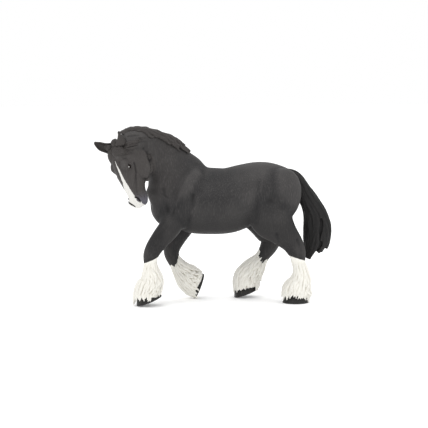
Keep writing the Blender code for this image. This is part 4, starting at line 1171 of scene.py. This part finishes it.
def build_ears(colours, sizes):
    """Each ear is a cup with a wall, with a foot in the head and a few hairs inside."""
    paint = hair_paint(colours)
    made = []
    for name, (root, points_to, opens_to, length, half_width) in EARS.items():
        along = unit(points_to)
        opening = unit(np.array(opens_to) - along * (np.array(opens_to) @ along))
        side = np.cross(along, opening)
        base = head_point(*root)
        rings = []
        for share, swell in spline(EAR_SHAPES[name], 4):
            w = half_width * max(swell, 0.08)
            inner_w = w - min(EAR_WALL, max(w * 0.5, 0.35))
            bow = math.sin(math.pi * share)
            centre = base + along * length * share - opening * 0.9 * bow
            centre = centre + np.array((0.0, 0.0, EAR_HOOKS[name] * (share ** 4 - 0.8 * bow)))
            outline = []
            for wide, cup, low, high, count in ((w, 0.8, -108, 108, 22), (inner_w, 0.72, 88, -88, 14)):
                turns = np.radians(np.linspace(low, high, count))
                outline += [(wide * math.sin(a), -wide * cup * math.cos(a)) for a in turns]
            rings.append([centre + side * p + opening * q for p, q in outline])
        foot = ball(Matrix.Translation(base + along * 0.6), (2.5, 2.5, 2.3))
        strands = Strands(sizes.seed + len(made))
        for k in range(-3, 4):
            across = side * k / 3.0
            path = []
            for step in range(6):
                depth = 0.9 - 0.06 * step + strands.rng.uniform(-0.1, 0.1)
                up = along * length * (0.08 + 0.06 * step)
                path.append(base + up + across * half_width * (0.62 - 0.08 * step) - opening * depth)
            strands.add(path, [side] * 6, 0.9, 0.6)
        ear = fuse(name + "_shell", strands, [loft(rings), foot], 0.16, 40000, ridge=0.03)
        carry(ear.data, "on_head", np.ones(len(ear.data.vertices)))
        paint.cover(ear)
        made.append(ear)
    return made


def over_stocking(name, points):
    """How far points lie above the edge of the leg's white stocking."""
    centre, rise = STOCKINGS[name]
    slope = math.radians(rise)
    return (points[..., 2] - centre[2]) * math.cos(slope) - (points[..., 0] - centre[0]) * math.sin(slope)


def build_feather(name, sizes):
    """Layers of locks down to a hem over the hoof, and loose tufts behind."""
    limb = Limb(LEGS[name])
    to_hoof = hoof_matrix(name).inverted()
    strands = Strands(sizes.seed * 31 + len(name) + sum(map(ord, name)))
    rng = strands.rng

    def lowered(tip, height, turn, lift):
        """The station where the tip of a lock comes down to this height over the sole."""
        while tip < LAST_HEM and (to_hoof @ Vector(limb.point(tip, turn, lift))).z > height:
            tip += HEM_STEP
        return tip

    for count, root, hem, reach, width, lifts in FEATHER_LAYERS:
        for k in range(count):
            turn = reach * (2.0 * (k + 0.5) / count - 1.0) + rng.uniform(-4, 4)
            turns = (turn, turn + rng.uniform(-6, 6))
            behind = 0.5 + 0.5 * math.cos(math.radians(turn))
            lift = (lifts[0], lifts[1] + 0.35 * behind)
            height = hem + rng.uniform(-0.8, 0.8) - (2.2 if rng.random() < LONG_TUFTS else 0.0)
            height -= HEEL_DROP[name] * behind ** 2 + TOE_DROP[name] * (1 - behind) ** 2
            tip = lowered(root + 0.8, height, turns[1], lift[1])
            begin = root + rng.uniform(-0.3, 0.3)
            edge = rng.uniform(-1.6, 0.3)
            while over_stocking(name, limb.point(begin, turn)) > edge:
                begin += HEM_STEP
            size = width * rng.uniform(0.8, 1.2), rng.uniform(1.1, 1.5)
            strands.follow(limb, (begin, tip), turns, lift, *size, (1.5, 4.0))
    for _ in range(LOOSE_TUFTS):
        turn = rng.uniform(-75, 75)
        tip = lowered(6.6, rng.uniform(3.5, 13.0), turn, 1.0)
        span = tip - rng.uniform(1.8, 2.6), tip
        turns = turn, turn + rng.uniform(-14, 14)
        strands.follow(limb, span, turns, (-0.9, rng.uniform(1.2, 2.2)), rng.uniform(1.7, 2.4), 1.2, (2, 5))
    core = limb.body(span=(4.0, 9.0), lift=-0.35, sides=48)
    return fuse("feather_locks_" + name, strands, [core], sizes.feather_grid, sizes.piece_triangles)


def build_mane(sizes):
    """Layers that fall to the right, locks along the near edge, and curls on the crest."""
    limb = Limb(NECK)
    strands = Strands(sizes.seed + 100)
    rng = strands.rng
    for count, first, last, run, turns, lifts, width, thickness in MANE_LAYERS:
        for k in range(count):
            root = between((first, last), k / (count - 1)) + rng.uniform(-0.08, 0.08)
            tip = max(root - run * rng.uniform(0.85, 1.15), MANE_END)
            swung = [turn + rng.uniform(-5, 5) for turn in turns]
            size = width * rng.uniform(0.85, 1.15), thickness
            strands.follow(limb, (root, tip), swung, lifts, *size, (3, 6), steps=14, blunt=0.25)
    stops, edges = np.array(MANE_EDGE).T
    for k in range(NEAR_LOCKS):
        share = (k + 0.5) / NEAR_LOCKS
        fall = 1.0 - 0.22 * (k % 5)
        root = 7.3 - 3.4 * share
        tip = max(root - 1.5 - 0.5 * share, MANE_END)
        low_at_root, low_at_tip = np.interp((root, tip), stops, edges) - CREST
        turns = CREST + low_at_root * fall * 0.75, CREST + low_at_tip * fall
        lifts = -0.2, 0.3 + 0.4 * (k % 2) + 0.7 * share * (0.5 + 0.5 * fall)
        width = rng.uniform(1.3, 1.8)
        strands.follow(limb, (root, tip), turns, lifts, width, 1.3, (2, 4), steps=16, blunt=0.4)
    for root, tip, height in MANE_CURLS:
        for k in range(CURL_LOCKS):
            turn = 170 + 5 * k + rng.uniform(-2, 2)
            turns = turn, turn + (k - 2) * 3.0
            span = root + rng.uniform(-0.15, 0.15), tip + rng.uniform(-0.15, 0.2)
            outer = k in (0, CURL_LOCKS - 1)
            lifts = 0.1, height * (0.6 if outer else 1.0) * rng.uniform(0.85, 1.1)
            width = rng.uniform(1.9, 2.6)
            strands.follow(limb, span, turns, lifts, width, 2.0, (3, 7), steps=14, blunt=0.5)
    core = limb.body(span=(3.2, 6.9), lift=-0.9, sides=48)
    return fuse("mane_locks", strands, [core], sizes.hair_grid, sizes.piece_triangles)


def build_forelock(sizes):
    """Locks down the forehead, a heap of hair between the ears and a tuft behind the near one."""
    limb = skull_limb()
    strands = Strands(sizes.seed + 200)
    rng = strands.rng
    for k in range(FORELOCK_STRANDS):
        share = k / (FORELOCK_STRANDS - 1)
        span = 0.05 + 1.35 * share, 0.90 + 1.35 * share + rng.uniform(-0.06, 0.06)
        turns = -64 + 48 * share, 124 - 42 * share + rng.uniform(-5, 5)
        lifts = 0.0, 0.25 + 0.3 * (k % 2)
        width = rng.uniform(1.3, 1.6)
        strands.follow(limb, span, turns, lifts, width, 1.3, (1, 3), steps=16, skin=surface_of(True))
    middle, radii = np.array(CROWN)
    for k in range(CROWN_LOCKS):
        path = []
        for turn in np.radians(np.linspace(210, -10, 12)):
            left = -0.85 + 0.17 * k + 0.25 * math.cos(turn) + 0.05 * math.sin(3 * turn + k)
            girth = math.sqrt(max(1 - left ** 2, 0.1))
            on_ball = math.cos(turn) * girth, math.sin(turn) * girth, left
            path.append(head_point(*(middle + radii * on_ball)))
        strands.add(path, [HEAD_AXES[2]] * len(path), rng.uniform(1.2, 1.7), 1.0, blunt=0.3)
    tuft = [between(EAR_TUFT, stop) for stop in np.linspace(0, 1, 10)]
    strands.add(tuft, [HEAD_AXES[2]] * len(tuft), 3.6, 3.0, blunt=0.8)
    return fuse("forelock_locks", strands, [ball(head_matrix(*middle), radii)], 0.18, 60000)


def build_tail(sizes):
    """Layers of long wavy locks that close round a core."""
    limb = Limb(TAIL)
    strands = Strands(sizes.seed + 300)
    rng = strands.rng
    for count, root, tip, width in TAIL_LAYERS:
        for k in range(count):
            turn = 360.0 * (k + rng.uniform(-0.3, 0.3)) / count
            behind = math.cos(math.radians(turn))
            lower = 0.85 + 0.8 * min(0.0, behind) - 1.7 * max(0.0, behind) ** 1.5
            span = root + rng.uniform(-0.3, 0.3), tip + lower + rng.uniform(-0.2, 0.2)
            turns = turn, turn + 30 * math.sin(math.radians(turn)) + rng.uniform(-8, 8)
            size = width * rng.uniform(0.8, 1.15), 2.1
            strands.follow(limb, span, turns, (-0.8, 0.4), *size, (5, 9), steps=26, ripples=12.0, blunt=0.7)
    core = limb.body(span=(0.0, 7.8), lift=-0.4)
    return fuse("tail_locks", strands, [core], sizes.hair_grid, sizes.piece_triangles)


def select_parts(obj, kind, chosen):
    """Goes into edit mode with only the chosen edges or faces of the mesh selected."""
    bpy.ops.object.mode_set(mode="EDIT")
    bpy.ops.mesh.select_mode(type=kind)
    bpy.ops.mesh.select_all(action="DESELECT")
    bpy.ops.object.mode_set(mode="OBJECT")
    for part in obj.data.edges if kind == "EDGE" else obj.data.polygons:
        part.select = chosen(part)
    bpy.ops.object.mode_set(mode="EDIT")


def build_hoof(name, paint):
    """A rounded hoof with rings in its wall, a rim and a hollow sole with a frog."""
    hoof = add_object(
        bpy.ops.mesh.primitive_cylinder_add, "hoof_shell_" + name,
        vertices=64, radius=1.0, depth=1.0, location=(0, 0, 0.5),
    )
    bpy.ops.object.transform_apply(location=True, rotation=True, scale=True)

    def upright(edge):
        a, b = (hoof.data.vertices[i].co for i in edge.vertices)
        return abs(a.z - b.z) > 0.5

    select_parts(hoof, "EDGE", upright)
    bpy.ops.mesh.subdivide(number_cuts=15)
    select_parts(hoof, "FACE", lambda face: face.normal.z < -0.9)
    # The rim, the step up into the sole, and the frog
    for thickness, deeper in ((0.14, 0.0), (0.05, 0.10), (0.25, 0.0)):
        bpy.ops.mesh.inset(thickness=thickness)
        bpy.ops.transform.translate(value=(0.0, 0.0, deeper))
    bpy.ops.object.mode_set(mode="OBJECT")
    matrix = hoof_matrix(name)
    for v in hoof.data.vertices:
        x, y, share = v.co
        around = math.atan2(y, -x)
        radius = math.hypot(x, y)
        bulge = np.interp(share, (0.0, 0.06, 0.55, 1.0), (0.97, 1.0, 0.90, HOOF_TOP_SHARE))
        ripple = 1.0 + 0.006 * math.sin(share * 30.0) * (radius > 0.98)
        heel = max(0.0, -math.cos(around))
        along = -math.cos(around) * radius * HOOF_REACH * bulge * ripple + HOOF_SETBACK * share
        wide = math.sin(around) * radius * HOOF_HALF_WIDTH * bulge * ripple * (1.0 - 0.10 * heel)
        high = HOOF_HEIGHT * share * (0.80 + 0.20 * math.cos(around))
        v.co = matrix @ Vector((along, wide, high))
        v.co.z = max(v.co.z, 0.0)
    apply_modifier(hoof, "BEVEL", width=0.12, segments=2, limit_method="ANGLE", angle_limit=math.radians(50))
    place(hoof)
    bpy.ops.object.shade_smooth_by_angle(angle=math.radians(45))
    paint.cover(hoof)
    return hoof


def build_eye(name, side, paint):
    """A ball whose cornea swells a little, with the pupil and the glint stored on its points."""
    eye = add_object(
        bpy.ops.mesh.primitive_uv_sphere_add, name + "_ball", segments=48, ring_count=32, radius=EYE_RADIUS,
    )
    points, _ = read_points(eye.data)
    toward = points @ unit(EYE_OUTWARD) / EYE_RADIUS
    points *= (1.0 + 0.03 * np.clip((toward - 0.8) / 0.2, 0, 1))[:, None]
    flat = np.sqrt(np.clip(1 - toward ** 2, 0, 1))
    stretch = np.abs(points @ unit(EYE_LENGTHWISE)) / EYE_RADIUS
    carry(eye.data, "pupil", np.hypot(flat * 1.5, stretch * 0.5))
    glint = np.linalg.norm(points - unit(EYE_GLINT) * EYE_RADIUS, axis=1) / GLINT_RADIUS
    carry(eye.data, "glint", glint)
    write_points(eye.data, out_of_head_frame((points + EYE_PLACE) * (1, 1, side)))
    face_outward(eye)
    place(eye)
    paint.cover(eye)
    return eye


def settle(piece, slot, *nodes):
    """The piece rides on the body and stands for its nodes, which it hides; slot is not used."""
    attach(piece, "root")
    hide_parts(*nodes)


# --- Operators ---


class HORSE_OT_skin(bpy.types.Operator):
    """Builds the body, neck, head and legs as one sculpted skin"""
    bl_idname = "horse.skin"
    bl_label = "Skin"

    def execute(self, context):
        skin = build_skin(context.scene.horse_paint, context.scene.horse_sculpt)
        settle(skin, "black_coat", "torso", "neck", "head", *("leg_" + name for name in LEGS))
        return {"FINISHED"}


class HORSE_OT_ears(bpy.types.Operator):
    """Builds the two cupped ears with hair inside"""
    bl_idname = "horse.ears"
    bl_label = "Ears"

    def execute(self, context):
        for ear, name in zip(build_ears(context.scene.horse_paint, context.scene.horse_sculpt), EARS):
            settle(ear, "black_coat", name)
        return {"FINISHED"}


class HORSE_OT_feathers(bpy.types.Operator):
    """Builds the long white hair over the four hooves"""
    bl_idname = "horse.feathers"
    bl_label = "Feathers"

    def execute(self, context):
        paint = feather_paint(context.scene.horse_paint)
        for name in LEGS:
            feather = build_feather(name, context.scene.horse_sculpt)
            paint.cover(feather)
            settle(feather, "white_feather", "feather_" + name)
        return {"FINISHED"}


class HORSE_OT_hair(bpy.types.Operator):
    """Builds the mane, the forelock and the tail"""
    bl_idname = "horse.hair"
    bl_label = "Mane, forelock and tail"

    def execute(self, context):
        paint = hair_paint(context.scene.horse_paint)
        builders = (("mane", build_mane, 0.9), ("forelock", build_forelock, 1.0), ("tail", build_tail, 0.0))
        for node, build, warmth in builders:
            piece = build(context.scene.horse_sculpt)
            carry(piece.data, "on_head", np.full(len(piece.data.vertices), warmth))
            paint.cover(piece)
            settle(piece, "black_hair", node)
        return {"FINISHED"}


class HORSE_OT_hooves(bpy.types.Operator):
    """Builds the four hooves"""
    bl_idname = "horse.hooves"
    bl_label = "Hooves"

    def execute(self, context):
        paint = hoof_paint(context.scene.horse_paint)
        for name in HOOVES:
            settle(build_hoof(name, paint), "dark_hoof", "hoof_" + name)
        return {"FINISHED"}


class HORSE_OT_eyes(bpy.types.Operator):
    """Builds the two glossy eyes"""
    bl_idname = "horse.eyes"
    bl_label = "Eyes"

    def execute(self, context):
        paint = eye_paint(context.scene.horse_paint)
        for name, side in (("eye_left", 1), ("eye_right", -1)):
            settle(build_eye(name, side, paint), "glossy_eye", name)
        return {"FINISHED"}


CAMERA_TURN = -7.0
CAMERA_RISE = 6.5
CAMERA_AWAY = 1000.0
CAMERA_LENS = 127.4
AIM = (1.0, 0.0, 58.1)
LIGHTS_AIM = Vector((0.0, 0.0, 0.05))
# Lights: place and size in metres, and the share of the key light's strength
LIGHTS = {
    "key": ((-0.55, -0.75, 1.15), 0.9, 1.0),
    "fill": ((0.95, -0.65, 0.75), 1.0, 0.45),
    "top": ((0.15, 0.35, 1.25), 1.1, 0.7),
}


class HORSE_OT_stage(bpy.types.Operator):
    """Sets the pale floor, the soft lights and the camera"""
    bl_idname = "horse.stage"
    bl_label = "Stage"

    def execute(self, context):
        sizes = context.scene.horse_stage
        floor = add_object(bpy.ops.mesh.primitive_plane_add, "floor", size=sizes.floor * 2)
        paint = Paint("floor_paint", 0.9)
        grain = paint.noise(paint.position(), 40.0, 2.0)
        paint.shader.inputs["Emission Color"].default_value = (*WHITE, 1.0)
        paint.shader.inputs["Emission Strength"].default_value = 0.12
        paint.feed(Base_Color=paint.mix(grain, (0.98, 0.98, 0.98, 1.0), (0.99, 0.99, 0.99, 1.0)))
        paint.cover(floor)

        world = bpy.data.worlds.new("room")
        world.use_nodes = True
        room = world.node_tree.nodes["Background"]
        room.inputs["Color"].default_value = (*WHITE, 1.0)
        room.inputs["Strength"].default_value = sizes.sky
        context.scene.world = world
        for name, (place_of, size, share) in LIGHTS.items():
            light = add_object(bpy.ops.object.light_add, name, type="AREA", location=place_of)
            light.data.size = size
            light.data.energy = sizes.key_light * share
            light.rotation_euler = (LIGHTS_AIM - Vector(place_of)).to_track_quat("-Z", "Y").to_euler()

        turn, rise = math.radians(CAMERA_TURN), math.radians(CAMERA_RISE)
        back = Vector((math.sin(turn) * math.cos(rise), -math.cos(turn) * math.cos(rise), math.sin(rise)))
        spot = (Vector(AIM) + DRAWING_SHIFT + back * CAMERA_AWAY) * METRES
        camera = add_object(bpy.ops.object.camera_add, "Camera", location=spot)
        camera.rotation_euler = (-back).to_track_quat("-Z", "Y").to_euler()
        camera.data.lens = CAMERA_LENS
        camera.data.sensor_width = 36.0
        camera.data.clip_start = 0.01
        context.scene.camera = camera
        context.scene.view_settings.view_transform = "Standard"
        return {"FINISHED"}


class HORSE_PT_sidebar(bpy.types.Panel):
    """Lists the sizes, the colours and the steps of the figure"""
    bl_idname = "HORSE_PT_sidebar"
    bl_label = "Horse figure"
    bl_space_type = "VIEW_3D"
    bl_region_type = "UI"
    bl_category = "Horse"

    def draw(self, context):
        for group in (context.scene.horse_sculpt, context.scene.horse_paint, context.scene.horse_stage):
            box = self.layout.box()
            for key in group.__annotations__:
                box.prop(group, key)
        for operator in STEPS:
            self.layout.operator(operator.bl_idname)


GROUPS = {"horse_paint": PaintColours, "horse_sculpt": SculptSizes, "horse_stage": StageSizes}
STEPS = (
    HORSE_OT_skin, HORSE_OT_ears, HORSE_OT_feathers, HORSE_OT_hair, HORSE_OT_hooves, HORSE_OT_eyes,
    HORSE_OT_stage,
)


def register():
    for kind in (*GROUPS.values(), *STEPS, HORSE_PT_sidebar):
        bpy.utils.register_class(kind)
    for name, kind in GROUPS.items():
        setattr(bpy.types.Scene, name, PointerProperty(type=kind))


def unregister():
    for name in GROUPS:
        delattr(bpy.types.Scene, name)
    for kind in (HORSE_PT_sidebar, *reversed(STEPS), *GROUPS.values()):
        bpy.utils.unregister_class(kind)


def main():
    register()
    for step in STEPS:
        getattr(bpy.ops.horse, step.bl_idname.partition(".")[2])()


if __name__ == "__main__":
    main()
